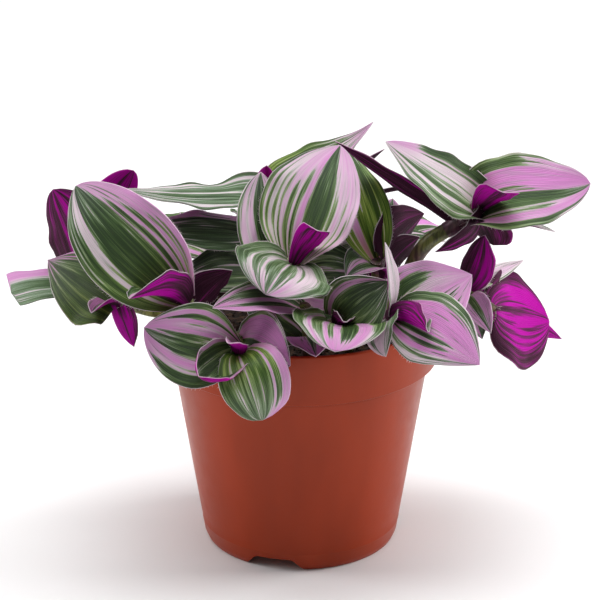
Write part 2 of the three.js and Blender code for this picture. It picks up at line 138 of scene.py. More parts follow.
# Colours of the stems and hairs
STEM_GREENS = ((0.06, 0.075, 0.014), (0.2, 0.22, 0.05))
STEM_PURPLE = (0.16, 0.05, 0.09)
HAIR_TINTS = ((0.62, 0.5, 0.5), (0.8, 0.74, 0.7))

# Tints that a colour is multiplied by
# Painted shade: darkens the pot's wall just under the rim band, where the band's overhang shades it
CREASE_SHADE_TINT = (0.4, 0.35, 0.35)
OLIVE_TINT = (1.3, 1.34, 0.36)
FRESH_TINT = (0.85, 0.95, 0.5)
FURROW_TINT = (0.62, 0.66, 0.62)
# Painted shade on the upper side of leaves that lie in shadow, which also gives some a darker,
# purpler tone
SHADE_AND_TONE_TINT = (0.46, 0.4, 0.42)

# Stage: the floor fades into the surround between two distances, in metres. A light has its name,
# its place and aim in metres, its size in metres and its power in watts
FLOOR_HALF_SIZE = 1300
FLOOR_DROP = 0.1
FLOOR_FADE = (0.7, 1.15)
LIGHTS = (
    ("key right", (1.35, 0.2, 0.6), (0, 0, 0.08), (0.7, 1.2), 19),
    ("key left", (-1.35, 0.1, 0.6), (0, 0, 0.08), (0.6, 1.2), 12),
    ("overhead", (0, 0.2, 2.4), (0, 0, 0.1), (2.4, 2.0), 64),
)

# Camera: its place and reach in metres, and how many degrees it looks down
CAMERA_PLACE = (-0.0003, -1.0, 0.4941)
CAMERA_DOWN = 21.25
CAMERA_LENS = 154.4
CAMERA_SENSOR = 36
CAMERA_REACH = 20

# Tones of the stripes: how green the strip is, and how pink it is where it isn't green
TONES = {
    "dark": (1.0, 0.3),
    "green": (0.76, 0.1),
    "mint": (0.46, 0.1),
    "white": (0.02, 0.1),
    "pale": (0.04, 0.4),
    "pink": (0.04, 0.68),
    "rose": (0.04, 0.95),
}

# What a leaf has unless its row says otherwise. Form: the angles at which it rises from its stem and
# comes down on its tip, how high it arches, how far it sways aside, how it narrows to its tip and to
# its stem, and its curl across in radians. Colour: the tip's pink, the underside's darkness, the
# green's warmth, how torn the stripes are, and how far the upper side is darkened, mostly as painted
# shade where the leaf lies in shadow and partly as a darker, purpler tone.
PLAIN_LEAF = {
    "rise": 20, "fall": 20, "arch": 1, "sway": 0, "taper": 0.87, "clasp": 0.04, "cup": 0.3,
    "tip_pink": 0, "shade": 0.45, "olive": 0.6, "torn": 1, "deep": 0,
}

# Values that each point of a shoot carries for the materials and the node tree
POINT_VALUES = (
    "leafy", "blush", "margin", "seed", "shade", "olive", "torn", "deep", "thick", "hair", "flush")


def leaf(name, at, tip, face, width, marks, **others):
    """One leaf: the point of its stem that it grows from, counted from 0, its tip, the way its upper
    side looks, its width, and the tones of its stripes from one margin to the other. Each tone has
    its share of the width, and may have the share of the length at which it fades."""
    own = {"name": name, "at": at, "tip": tip, "face": face, "width": width, "marks": marks}
    return {**PLAIN_LEAF, **own, **others}


def shoot(name, radius, flush, stem, leaves):
    """One leafy shoot: its stem's radius, how purple the stem is, the stem's points and leaves."""
    return {"name": name, "radius": radius, "flush": flush, "stem": stem, "leaves": leaves}


# A leaf's name is there to find its row. The leaves of one shoot begin with the same letter.
SHOOTS = [
    shoot("shoot_left_high", 2.6, 0.1, [
        (-24, -22, 84), (-34, -34, 104), (-47, -50, 118), (-45, -60, 128),
    ], [
        leaf("a_big", 3, (-88, -46, 171), (-0.2, -0.9, 0.35), 39,
             "green 3.6, white 1.4, green 0.4, white 0.4 .7, dark 7.4, pale 0.4, dark 0.9 .88,"
             " pink 0.9, dark 1 .8, pink 1, dark 0.7 .72, pink 1.2, dark 0.4 .5, pink 2.2",
             fall=30, cup=0.2, taper=0.66, seed=3, olive=0.8, torn=0.9, deep=0.06),
        leaf("a_young", 3, (-65.5, -84, 138.5), (-0.25, 0.5, 0.85), 26,
             "green 2, dark 2, pink 3, dark 2, pink 1.5, green 2", fall=10, cup=1.1, shade=0.05),
        leaf("a_right", 2, (-27, -52, 138), (-0.4, 0.8, 0.4), 22,
             "dark 3, pale 0.4, dark 4, mint 1", rise=10, cup=0.4, shade=0.7),
    ]),
    shoot("shoot_left_low", 2.5, 0.2, [
        (-38, -12, 84), (-50, -22, 106), (-62, -34, 114), (-73, -42, 121),
    ], [
        leaf("b_big", 3, (-102.6, -22, 131.2), (-0.1, -0.7, 0.7), 38,
             "dark 3, pink 0.3 .9, dark 3, pink 0.3 .8, dark 4, mint 0.25, green 3, dark 1,"
             " rose 0.5 .7, dark 1, rose 0.5, dark 1.4, rose 1.2",
             fall=30, cup=0.2, sway=-0.04, clasp=0.5, taper=1.1, tip_pink=0.9, olive=1.1, torn=0.5,
             deep=0.7),
        leaf("b_low", 3, (-66, -57, 107.5), (0.1, 0.9, -0.4), 11, "pink 3, dark 1, pink 2, dark 2",
             rise=10, fall=5, cup=1, clasp=0.2, shade=0.05),
        leaf("b_young", 3, (-82, -62, 124), (-0.3, 0.1, 0.95), 14, "rose 2, dark 1, rose 2",
             rise=10, fall=10, cup=0.9, shade=0.6, deep=1),
    ]),
    shoot("shoot_left_back", 2.5, 0.3, [
        (-34, 4, 84), (-50, 0, 108), (-71, -6, 116), (-86, -14, 125),
    ], [
        leaf("c_up", 3, (-101, -6, 156), (0.3, 0.8, 0.3), 40,
             "dark 2, pink 0.5, dark 1.5, pink 1, dark 1, pink 0.6, dark 3",
             rise=15, fall=15, clasp=0.5, taper=0.65, shade=0.24),
        leaf("c_young", 3, (-68.5, 2, 161.5), (-0.2, 0.9, 0.2), 23,
             "pink 3, dark 1.5, pink 1, dark 1, pink 3",
             rise=15, fall=30, cup=0.6, taper=0.6, shade=0.02),
        leaf("c_left", 2, (-118, -22, 116.8), (0, -0.2, 1), 26,
             "green 2.6, mint 0.6, green 2.6, mint 0.6, pink 1.6",
             rise=-12, fall=15, cup=0.2, taper=0.05, tip_pink=0.35, torn=0.3, olive=0.1),
    ]),
    shoot("shoot_top_left", 2.6, 0.3, [
        (-12, 8, 84), (-14, 10, 112), (-16, 8, 131), (-15, 10, 148),
    ], [
        leaf("d_long", 3, (-73, -4, 155), (0, 0, 1), 34,
             "green 1, white 0.4, mint 1, green 1.4, pale 0.3, green 1.2, white 0.3, green 1.8,"
             " white 0.4, green 1.4, mint 1, white 0.5, green 0.6",
             rise=-8, fall=-8, cup=0.15, clasp=0.25, torn=0.7, olive=0),
        leaf("d_dark", 2, (-68, -8, 137), (0, -0.35, 0.95), 26,
             "dark 3, pale 0.3 .8, dark 2, mint 0.3, dark 2, pale 0.2 .9, dark 2, pink 0.3 .7,"
             " dark 1.4, pink 2", rise=0, fall=10, cup=0.2, olive=0.1, deep=0.1, torn=1.2),
        leaf("d_low", 1, (-53, -18, 117), (0, -0.5, 0.85), 28,
             "dark 2, pale 0.5 .8, dark 2, mint 0.5, dark 3, pale 0.4 .7, dark 2, mint 0.4,"
             " dark 1.5", cup=0.25, olive=0.5, deep=0.25),
        leaf("d_top", 3, (30, 16, 178), (-0.25, -0.3, 0.9), 25,
             "green 2, white 0.3, green 2.5, white 0.3, green 2.4, pink 0.8, green 0.8",
             rise=16, fall=-12, sway=0.06, clasp=0.1, taper=1.05, tip_pink=0.9, olive=1),
        leaf("d_young", 3, (-14, 4, 163), (0, 0.9, 0.3), 9, "pink 1",
             rise=5, fall=5, cup=1, shade=0),
    ]),
    shoot("shoot_centre", 2.8, 0.2, [
        (-2, -14, 84), (-2, -24, 108), (-3, -34, 126), (-3, -42, 138),
    ], [
        leaf("e_big", 3, (16, -10, 176), (-0.25, -0.85, 0.45), 41,
             "green 1, pale 0.6, green 0.6, white 0.9, green 0.6 .8, white 0.5, dark 0.5 .62,"
             " pale 1.3, dark 0.6 .55, pale 0.9, dark 0.7 .7, pink 1.5, dark 4.6, mint 0.5 .6,"
             " white 0.6, green 0.6 .5, pale 1.4, dark 0.5 .5, pale 1, dark 0.4 .35, pale 1.6",
             fall=30, seed=1, tip_pink=0.35, torn=0.75, deep=0.08),
        leaf("e_left", 2, (-16, -17, 167), (0.5, -0.85, 0.3), 32,
             "green 0.6, pale 1.4, white 0.6, pale 1.2, dark 3, pale 0.6, dark 0.8 .8, pale 0.9,"
             " dark 1 .9, pink 0.6, dark 1.2", fall=25, cup=0.4, sway=-0.2, deep=0.15),
        leaf("e_front", 3, (-13.5, -71, 135), (0.3, -0.3, 0.95), 41,
             "green 2.2, mint 0.8, white 2, green 0.7 .7, pale 0.6, mint 1.2, green 1, pale 0.4,"
             " green 2, pale 0.4, mint 1, green 1.2, white 0.4, mint 0.8, green 2.6",
             rise=15, fall=45, cup=0.05, taper=0.6, tip_pink=0.5, torn=0.6, olive=0.2, deep=0.22),
        leaf("e_young", 3, (6.5, -53, 155), (0.1, 0.8, 0.5), 14,
             "dark 0.8, pink 2, dark 0.8, pink 1, dark 1, pink 1, dark 0.6, pink 2",
             rise=5, fall=5, cup=0.8, clasp=0.1, taper=0.12, shade=0.05),
        leaf("e_right", 2, (27, -22, 124), (-0.1, -0.9, 0.4), 33,
             "dark 2, mint 0.5, dark 1, pale 0.5, dark 1.5, mint 0.6, dark 1, pink 1.6, dark 1",
             fall=10, cup=0.2, deep=0.3),
    ]),
    shoot("shoot_centre_right", 2.6, 0.4, [
        (26, -6, 84), (29, -14, 108), (31, -20, 122), (31, -24, 132),
    ], [
        leaf("f_tall", 3, (18.5, 6, 169.5), (0.2, -0.9, 0.4), 24,
             "green 1.5, pale 0.4, green 1, pink 1.8, dark 1.2, white 0.3, green 1.4, pale 0.3,"
             " dark 1.4, white 0.25, green 2", cup=0.2, sway=-0.06, olive=2.4, torn=0.6),
        leaf("f_arch", 2, (18, -44, 132), (0, -0.4, 0.9), 22, "pink 2, dark 2, pink 1, dark 2",
             rise=50, fall=40, cup=0.5, deep=0.4),
        leaf("f_dark", 3, (51, 4, 142), (0.2, 0.9, 0.3), 29,
             "dark 2, pink 0.7, dark 1.8, pink 0.5, dark 2", rise=10, fall=10, cup=0.5, shade=0.85),
        leaf("f_low", 2, (49, -2, 134), (0.2, 0.8, 0.4), 20, "dark 2, pink 0.5, dark 2",
             rise=10, fall=10, cup=0.4, shade=0.95),
    ]),
    shoot("shoot_front_middle", 2.6, 0.2, [
        (18, -22, 84), (20, -38, 108), (18, -50, 115), (15, -58, 118),
    ], [
        leaf("g_outer", 3, (13, -90, 119), (0.1, -0.3, 0.95), 38,
             "green 1.4, mint 0.8, pink 2.2, dark 2.6 .85, pink 1.6, green 0.8 .8, pink 0.9,"
             " green 2.2, pink 0.6, mint 0.8, green 1.6",
             rise=15, fall=30, cup=0.45, clasp=0.12, taper=0.5, tip_pink=0.6, torn=0.55, deep=0.25),
        leaf("g_inner", 3, (34.5, -60, 136.5), (-0.35, -0.85, 0.3), 28,
             "green 1.5, pink 1.4, dark 6, green 0.5, dark 3, pale 0.5, dark 2",
             rise=25, fall=0, cup=0.55, clasp=0.1, deep=0.45),
        leaf("g_young", 3, (17, -72, 124), (0.3, 0.4, 0.8), 12, "dark 1, pink 1, dark 1",
             rise=5, fall=5, cup=1.4, shade=0.3),
        leaf("g_right", 2, (31, -66, 112), (0.2, -0.7, 0.7), 16, "pink 3, green 1, pink 3",
             rise=15, deep=0.4),
    ]),
    shoot("shoot_front_right", 2.6, 0.3, [
        (30, -26, 84), (34, -40, 106), (36, -52, 114), (36, -62, 123),
    ], [
        leaf("h_big", 3, (69, -84, 111), (0.1, -0.85, 0.5), 31,
             "green 2, mint 0.3, rose 4.5, dark 0.4 .6, rose 0.8, dark 1 .75, rose 0.4,"
             " dark 0.7 .7, rose 1.2, pale 0.5, green 0.8, white 0.6, green 0.6",
             cup=-0.25, sway=-0.08, tip_pink=0.6, olive=0.3),
        leaf("h_back", 2, (68, -44, 133), (-0.1, -0.75, 0.65), 35,
             "pink 2, dark 1.5 .6, pale 1, green 0.6 .5, pink 2, dark 0.8 .8, pink 1.4,"
             " dark 0.6 .7, pink 2", rise=25, cup=0.25, tip_pink=0.4),
        leaf("h_young", 3, (49, -82, 124), (0.85, -0.1, 0.5), 20, "green 1, mint 1, green 1",
             rise=5, fall=5, cup=2.2, shade=0.0),
        leaf("h_edge", 3, (32.5, -67, 155), (0.9, -0.4, 0), 11,
             "mint 1.6, white 2.6, mint 0.8, white 1.6",
             rise=5, fall=5, cup=0.4, shade=-0.1, torn=0.4, olive=0.1),
        leaf("h_down", 3, (33, -78, 112), (-0.8, -0.5, 0.3), 20,
             "green 1.4, mint 2, white 2.4, mint 1, white 1",
             rise=30, fall=30, torn=0.5, olive=0.2),
    ]),
    shoot("shoot_right_high", 3.3, 0.35, [
        (38, 2, 84), (43, -10, 117), (51, -20, 137.5), (64, -21, 147), (72, -22, 154),
    ], [
        leaf("i_pale", 4, (33.5, -30, 184), (-0.2, -0.5, 0.85), 28,
             "green 0.8, mint 2, green 0.8, mint 1, white 0.8, green 1.4, mint 1.4, white 0.5,"
             " mint 0.6, white 2, green 0.5 .7, pale 0.6, dark 2.2 .72",
             rise=0, fall=2, sway=-0.03, clasp=0.35, taper=0.78, tip_pink=0.4, torn=0.45,
             olive=0.3),
        leaf("i_big", 4, (115.7, -26, 165.3), (0, -0.6, 0.8), 37,
             "mint 0.6, green 2 .5, rose 4, dark 0.4 .5, rose 0.6, dark 3.2, pale 0.4,"
             " green 0.8 .7, pink 2.2, dark 1, mint 0.8",
             rise=34, fall=-15, clasp=0.38, taper=0.62, torn=0.6, olive=0.5, tip_pink=0.5),
        leaf("i_flat", 3.2, (103, -20, 142.6), (0, 0.12, 0.95), 18,
             "mint 2, white 1, mint 2, green 1", rise=10, fall=10, cup=0.2),
        leaf("i_young", 3.8, (79.5, -42, 167), (0.2, 0.5, 0.85), 17, "pink 2, dark 1.4, pink 2",
             rise=5, fall=5, cup=0.5, taper=0.12, shade=0.12),
        leaf("i_long", 3, (14, -7.5, 177), (0.3, 0.6, 0.75), 17,
             "pale 0.7, dark 3, pink 0.5, dark 3, pale 0.7",
             rise=-6, fall=-3, cup=0.5, shade=0.62, tip_pink=1),
        leaf("i_low", 4, (54, -31, 138), (-0.2, 0.7, 0.7), 18,
             "dark 2, pink 1, dark 1, pink 1.2, dark 1, pink 1.2",
             rise=-50, fall=-30, arch=1.2, shade=0.85),
        leaf("i_lobe", 3.5, (79, -8, 132.5), (0.5, 0.6, 0.6), 23, "pale 2, mint 1, pale 2",
             taper=0.35, shade=1.1),
    ]),
    shoot("shoot_right_low", 2.8, 0.2, [
        (42, 10, 84), (54, 0, 110), (67, -10, 113), (79, -14, 105),
    ], [
        leaf("j_up", 2, (75, -14, 139), (0.6, 0.7, 0.1), 18, "rose 3, dark 0.6, pink 1, dark 4",
             rise=10, fall=10, cup=0.9, shade=0.3),
        leaf("j_big", 3, (106, 19.5, 88), (-0.82, 0.41, -0.4), 44,
             "dark 3.4, pink 0.6, dark 0.5, pink 0.8, dark 0.5, pink 1, dark 0.4 .8, pink 2,"
             " dark 1.6, pink 0.4, dark 0.5 .7, pink 3, dark 2.8",
             rise=5, fall=15, cup=0.15, taper=0.55, shade=0.05),
        leaf("j_back", 2, (95, 28, 112.5), (-0.3, -0.8, 0.3), 8, "white 1, pale 2, mint 1",
             rise=5, fall=5, cup=0.4),
        leaf("j_far", 2, (113.5, 36, 73), (-0.7, 0.7, 0.2), 15, "pink 2, dark 0.6, pink 1",
             rise=5, fall=5, shade=0.05),
        leaf("j_small", 2, (77, -34, 104), (0, -0.7, 0.7), 13, "pink 2, dark 1, pink 2", rise=15),
        leaf("j_under", 2, (74, -28, 99), (0, -0.7, 0.7), 14, "dark 2, pink 1, dark 1", rise=10),
    ]),
    shoot("shoot_front_left", 2.6, 0.1, [
        (-18, -32, 84), (-23, -47, 107), (-25, -61, 112), (-24, -70, 111),
    ], [
        leaf("k_big", 3, (-61, -70, 121), (-0.1, -0.95, 0.35), 34,
             "dark 2.4 .85, pale 0.6, mint 0.4, pink 2.2, dark 3.6, pale 0.4, dark 0.7 .9,"
             " pink 1.6, mint 0.4 .7, pink 1.2, dark 0.8 .9, pink 1.2, green 1.4",
             rise=8, fall=15, cup=0.15, sway=-0.06, taper=0.7, tip_pink=0.7),
        leaf("k_cup", 3, (-39, -94, 110.5), (-0.3, -0.9, 0.4), 24,
             "pink 1.2, dark 2, green 1, dark 3, pale 0.3, dark 2, pink 1.2",
             rise=-15, fall=-45, cup=1.3, clasp=0.15, taper=0.6, shade=0.2, tip_pink=0.5, deep=0.5),
        leaf("k_young", 3, (-28, -86, 121), (0.3, 0.3, 0.9), 10, "pink 1",
             rise=5, fall=5, cup=1, shade=0),
        leaf("k_front", 3, (-15, -80, 86), (0, -0.9, 0.4), 28,
             "pink 2, green 1.2 .8, pink 0.6, green 2, pink 0.4, green 2.2, pink 0.4, green 2.4,"
             " pale 0.3, green 3",
             rise=80, fall=60, arch=1.5, cup=0.1, sway=-0.1, taper=0.6, olive=1, torn=0.55),
        leaf("k_right", 2.3, (-4, -81, 109.5), (0, -0.9, 0.4), 33,
             "green 0.6, rose 3, dark 0.7 .8, rose 1.4, dark 1, rose 2, dark 0.6",
             rise=18, fall=25, cup=0.2, deep=0.5),
    ]),
    shoot("shoot_front", 2.5, 0.3, [(2, -30, 84), (3, -44, 106), (1, -51, 122)], [
        leaf("l_left", 2, (-34, -75, 131), (0, -0.3, 0.92), 23,
             "pink 2.4, dark 1.4, pink 1.4, dark 2, pink 0.6, dark 1",
             rise=15, fall=15, tip_pink=0.8, deep=0.35),
        leaf("l_under", 1, (-23, -34, 119), (-0.2, -0.6, 0.8), 22, "dark 4, pale 0.4, dark 3",
             cup=0.2, deep=0.6),
        leaf("l_low", 1, (6, -66, 107), (0, -0.5, 0.8), 20, "rose 3, dark 1, rose 3",
             rise=30, fall=30, cup=0.2),
    ]),
    shoot("shoot_back_left", 2.5, 0.2, [(-26, 22, 84), (-34, 34, 108), (-42, 46, 116)], [
        leaf("m_out", 2, (-80, 60, 110), (-0.2, 0.1, 1), 32,
             "pink 3, dark 1, white 0.8, dark 4, pale 0.6, green 1.4, white 1, green 2",
             fall=35, cup=0.25),
        leaf("m_back", 1, (-46, 86, 106), (0, 0.2, 1), 32,
             "green 2, white 1, dark 3, pink 3, dark 1, pale 1, green 1.6",
             rise=25, fall=40, cup=0.25),
        leaf("m_young", 2, (-52, 60, 122), (0.3, -0.2, 0.9), 20, "pink 2, dark 1.4, pink 2",
             rise=10, fall=10, cup=1.2, shade=0.1),
        leaf("m_side", 1, (-74, 24, 114), (-0.2, -0.1, 1), 26,
             "dark 2, pale 0.7, dark 2, pink 2, green 1, white 0.7, green 1.5", rise=25, fall=30),
    ]),
    shoot("shoot_back", 2.5, 0.4, [(-4, 28, 84), (-6, 44, 108), (-8, 60, 114)], [
        leaf("n_out", 2, (-24, 95, 106), (-0.1, 0.3, 1), 32,
             "green 1.4, white 1, green 1, pink 2.6, dark 3.4, pale 0.7, mint 0.6, pink 1.4,"
             " dark 1", rise=30, fall=45, cup=0.25, tip_pink=0.5),
        leaf("n_right", 1, (12, 86, 110), (0.2, 0.2, 1), 28,
             "dark 2, white 0.6, dark 2.6, pale 1, dark 0.6, pink 2.4, green 1",
             rise=25, fall=35, cup=0.25),
        leaf("n_young", 2, (-2, 72, 130), (0.1, -0.5, 0.8), 18, "rose 2, dark 1, rose 2",
             rise=5, fall=5, cup=1.3, shade=0.1),
        leaf("n_left", 1, (-30, 64, 118), (-0.2, 0, 1), 24,
             "green 2, pink 2, dark 2, white 0.8, green 1.4", fall=25),
    ]),
    shoot("shoot_back_right", 2.5, 0.3, [(20, 22, 84), (28, 34, 108), (36, 46, 115)], [
        leaf("o_out", 2, (70, 64, 108), (0.2, 0.2, 1), 30,
             "green 1.6, rose 3, pale 0.6, dark 3, white 0.7, dark 0.8, pink 1.6, green 1",
             rise=25, fall=40, cup=0.25),
        leaf("o_side", 1, (62, 36, 118), (0.3, 0, 1), 26,
             "dark 1.6, pale 0.7, dark 2.6, white 0.7, mint 1, pale 2, green 1.4",
             rise=25, fall=30, cup=0.25),
        leaf("o_young", 2, (40, 58, 130), (0.2, -0.3, 0.9), 18, "pink 2, dark 1.2, pink 2",
             rise=5, fall=5, cup=1.3, shade=0.1),
        leaf("o_back", 1, (48, 84, 104), (0, 0.3, 1), 28,
             "pink 2.4, dark 1, white 0.7, green 2.4, pale 0.8, dark 2",
             rise=25, fall=40, cup=0.25),
    ]),
    shoot("shoot_back_middle", 2.6, 0.5, [(4, 14, 84), (6, 20, 114), (6, 26, 132)], [
        leaf("p_back", 2, (4, 66, 138), (0, 0, 1), 32,
             "green 1.4, white 0.8, green 0.8, pale 1.4, dark 3.4, white 0.6, pink 2.4, dark 0.8,"
             " pink 1.2", rise=25, fall=35, tip_pink=0.4),
        leaf("p_left", 2, (-30, 40, 126), (-0.1, 0, 1), 28,
             "dark 2, pink 1, dark 2.4, pale 0.8, green 2", fall=30),
        leaf("p_right", 2, (57, 26, 146), (0, 0.3, 1), 20,
             "green 1.4, pale 0.8, dark 2.6, pink 1.6, dark 1.6",
             rise=10, fall=15, shade=1, deep=0.7),
        leaf("p_young", 2, (8, 34, 154), (0, -0.6, 0.6), 18, "rose 2, dark 1.2, rose 2",
             rise=5, fall=5, cup=1.3, shade=0.15),
        leaf("p_high", 2, (35, 24, 163.5), (-0.5, 0.5, 0.7), 16,
             "dark 2, pale 0.8, dark 1.4, pink 1.4", rise=10, fall=10, shade=1),
        leaf("p_low", 1, (40, 26, 122), (0.2, 0, 1), 24,
             "dark 2, white 0.7, green 2, pink 1.6, dark 1", rise=15, fall=25, deep=0.6),
    ]),
]


# Settings


class PotSettings(bpy.types.PropertyGroup):
    """Sizes and finish of the nursery pot"""

    height: FloatProperty(
        name="Height", description="Height of the pot", default=0.1043, unit="LENGTH")
    rim_radius: FloatProperty(
        name="Rim radius", description="Outer radius at the rim", default=0.06, unit="LENGTH")
    wall: FloatProperty(
        name="Wall", description="Thickness of the plastic", default=0.0014, unit="LENGTH")
    colour: FloatVectorProperty(
        name="Colour", description="Colour of the plastic", subtype="COLOR",
        default=(0.32, 0.036, 0.008))
    roughness: FloatProperty(
        name="Roughness", description="How dull the plastic is", default=0.36, subtype="FACTOR")


class SoilSettings(bpy.types.PropertyGroup):
    """Level, crumbs and colours of the potting soil"""

    level: FloatProperty(
        name="Level", description="Height of the soil's top", default=0.0945, unit="LENGTH")
    crumb_size: FloatProperty(
        name="Crumb size", description="Radius of a middling crumb", default=0.0011, unit="LENGTH")
    crumb_density: FloatProperty(
        name="Crumb density", description="Crumbs on a square metre of soil", default=130000)
    seed: IntProperty(name="Seed", description="Seed of the crumbs' places and sizes", default=5)
    dark: FloatVectorProperty(
        name="Dark", description="Colour of damp soil", subtype="COLOR",
        default=(0.02, 0.011, 0.006))
    light: FloatVectorProperty(
        name="Light", description="Colour of dry fibres", subtype="COLOR",
        default=(0.16, 0.085, 0.045))


class LeafSettings(bpy.types.PropertyGroup):
    """Form and colours of the leaves and stems"""

    thickness: FloatProperty(
        name="Thickness", description="Thickness of a blade", default=0.0007, unit="LENGTH")
    margin_wave: FloatProperty(
        name="Margin wave", description="How far the margins rise and fall", default=0.0007,
        unit="LENGTH")
    midrib_depth: FloatProperty(
        name="Midrib depth", description="Depth of the groove along the midrib", default=0.0005,
        unit="LENGTH")
    veins: IntProperty(
        name="Veins", description="Strips between parallel veins across a blade", default=46)
    dark_green: FloatVectorProperty(
        name="Dark green", description="Darkest stripes", subtype="COLOR",
        default=(0.023, 0.05, 0.018))
    mid_green: FloatVectorProperty(
        name="Mid green", description="Middling green stripes", subtype="COLOR",
        default=(0.082, 0.15, 0.056))
    pale_green: FloatVectorProperty(
        name="Pale green", description="Silvery stripes", subtype="COLOR",
        default=(0.28, 0.36, 0.27))
    white: FloatVectorProperty(
        name="White", description="Palest stripes", subtype="COLOR", default=(0.76, 0.65, 0.70))
    pink: FloatVectorProperty(
        name="Pink", description="Pinkest stripes", subtype="COLOR", default=(0.68, 0.245, 0.60))
    magenta: FloatVectorProperty(
        name="Magenta", description="Bright undersides", subtype="COLOR",
        default=(0.42, 0.002, 0.31))
    maroon: FloatVectorProperty(
        name="Maroon", description="Dark undersides", subtype="COLOR",
        default=(0.068, 0.017, 0.042))


class HairSettings(bpy.types.PropertyGroup):
    """The fine hairs on margins and sheaths"""

    length: FloatProperty(
        name="Length", description="Length of a hair on a margin", default=0.0011, unit="LENGTH")
    radius: FloatProperty(
        name="Radius", description="Radius at a hair's root", default=0.00006, unit="LENGTH")
    spacing: FloatProperty(
        name="Spacing", description="Distance between hairs", default=0.0007, unit="LENGTH")


class StageSettings(bpy.types.PropertyGroup):
    """Floor, lights and camera"""

    floor_colour: FloatVectorProperty(
        name="Floor colour", description="Colour of the floor", subtype="COLOR",
        default=(0.9, 0.9, 0.9))
    surround: FloatProperty(
        name="Surround", description="Strength of the soft light from all around", default=0.16)


SETTINGS = {
    "plant_pot": PotSettings,
    "plant_soil": SoilSettings,
    "plant_leaf": LeafSettings,
    "plant_hair": HairSettings,
    "plant_stage": StageSettings,
}


# Nodes


class Nodes:
    """Adds nodes to a tree, and sets or links their inputs."""

    def __init__(self, tree):
        self.tree = tree

    def feed(self, socket, value):
        """Links an output to a socket, or sets the socket's own value."""
        if isinstance(value, bpy.types.NodeSocket):
            self.tree.links.new(value, socket)
        else:
            socket.default_value = value

    def fill(self, node, inputs):
        """Sets or links a node's inputs, each by its name or number."""
        for name, value in inputs.items():
            self.feed(node.inputs[name], value)

    def add(self, kind, inputs=None, **settings):
        """A new node, with its properties set and its inputs fed."""
        node = self.tree.nodes.new(kind)
        for name, value in settings.items():
            setattr(node, name, value)
        self.fill(node, inputs or {})
        return node

    def calc(self, operation, *values):
        """The result of a calculation on numbers and outputs."""
        node = self.add("ShaderNodeMath", operation=operation)
        for socket, value in zip(node.inputs, values):
            self.feed(socket, value)
        return node.outputs[0]

    def times(self, first, second, plus=None):
        """The product of two values, with a third added to it where there is one."""
        if plus is None:
            return self.calc("MULTIPLY", first, second)
        return self.calc("MULTIPLY_ADD", first, second, plus)

    def place(self):
        """Where a point lies on its object, in metres."""
        return self.add("ShaderNodeTexCoord").outputs["Object"]

    def upright(self, vector, height):
        """A place with its height scaled down, so that the noise there is drawn out upward."""
        return self.add("ShaderNodeMapping", {"Vector": vector, "Scale": (1, 1, height)}).outputs[0]

    def vector(self, x, y, z):
        """A vector of three numbers or outputs."""
        return self.add("ShaderNodeCombineXYZ", {"X": x, "Y": y, "Z": z}).outputs[0]

    def noise(self, vector, scale, detail=2.0):
        """Cloudy noise from 0 to 1 at a place."""
        inputs = {"Vector": vector, "Scale": scale, "Detail": detail}
        return self.add("ShaderNodeTexNoise", inputs).outputs["Fac"]

    def step(self, value, low, high):
        """Rises smoothly from 0, where the value is low, to 1, where it is high."""
        inputs = {"Value": value, "From Min": low, "From Max": high}
        return self.add("ShaderNodeMapRange", inputs, interpolation_type="SMOOTHSTEP").outputs[0]

    def spread(self, value):
        """Stretches a noise, which keeps near its middle, to run from -1 to 1."""
        inputs = {"Value": value, "From Min": 0.3, "From Max": 0.7, "To Min": -1.0, "To Max": 1.0}
        return self.add("ShaderNodeMapRange", inputs).outputs[0]

    def mix(self, share, first, second):
        """Goes from the first colour to the second as the share goes from 0 to 1."""
        node = self.add("ShaderNodeMix", data_type="RGBA")
        self.feed(node.inputs[0], share)
        for socket, value in ((node.inputs[6], first), (node.inputs[7], second)):
            self.feed(socket, value if isinstance(value, bpy.types.NodeSocket) else (*value[:3], 1))
        return node.outputs[2]

    def tint(self, share, colour, filter_colour):
        """Multiplies a colour by another, by a share."""
        node = self.add("ShaderNodeMix", data_type="RGBA", blend_type="MULTIPLY")
        self.feed(node.inputs[0], share)
        self.feed(node.inputs[6], colour)
        self.feed(node.inputs[7], (*filter_colour, 1))
        return node.outputs[2]

    def blend(self, share, first, second):
        """Goes from the first shader to the second as the share goes from 0 to 1."""
        inputs = {0: share, 1: first.outputs[0], 2: second.outputs[0]}
        return self.add("ShaderNodeMixShader", inputs).outputs[0]

    def ramp(self, value, stops):
        """A colour for each value, between stops of a place and a colour."""
        node = self.add("ShaderNodeValToRGB", {"Fac": value})
        elements = node.color_ramp.elements
        while len(elements) < len(stops):
            elements.new(0.5)
        for element, (place, colour) in zip(elements, stops):
            element.position = place
            element.color = (*colour[:3], 1)
        return node.outputs["Color"]

    def attribute(self, name):
        """A value that the mesh carries."""
        return self.add("ShaderNodeAttribute", attribute_name=name).outputs["Fac"]

    def bump(self, height, strength, distance, before=None):
        """A normal that follows a height, on top of the one before."""
        inputs = {"Height": height, "Strength": strength, "Distance": distance}
        node = self.add("ShaderNodeBump", inputs)
        if before is not None:
            self.feed(node.inputs["Normal"], before)
        return node.outputs["Normal"]


def new_material(name):
    """A material of only a shader and its output, with its nodes and its shader."""
    material = bpy.data.materials.get(name) or bpy.data.materials.new(name)
    material.use_nodes = True
    material.node_tree.nodes.clear()
    nodes = Nodes(material.node_tree)
    shader = nodes.add("ShaderNodeBsdfPrincipled")
    nodes.add("ShaderNodeOutputMaterial", {"Surface": shader.outputs[0]}, location=(300, 0))
    return material, nodes, shader


# Materials


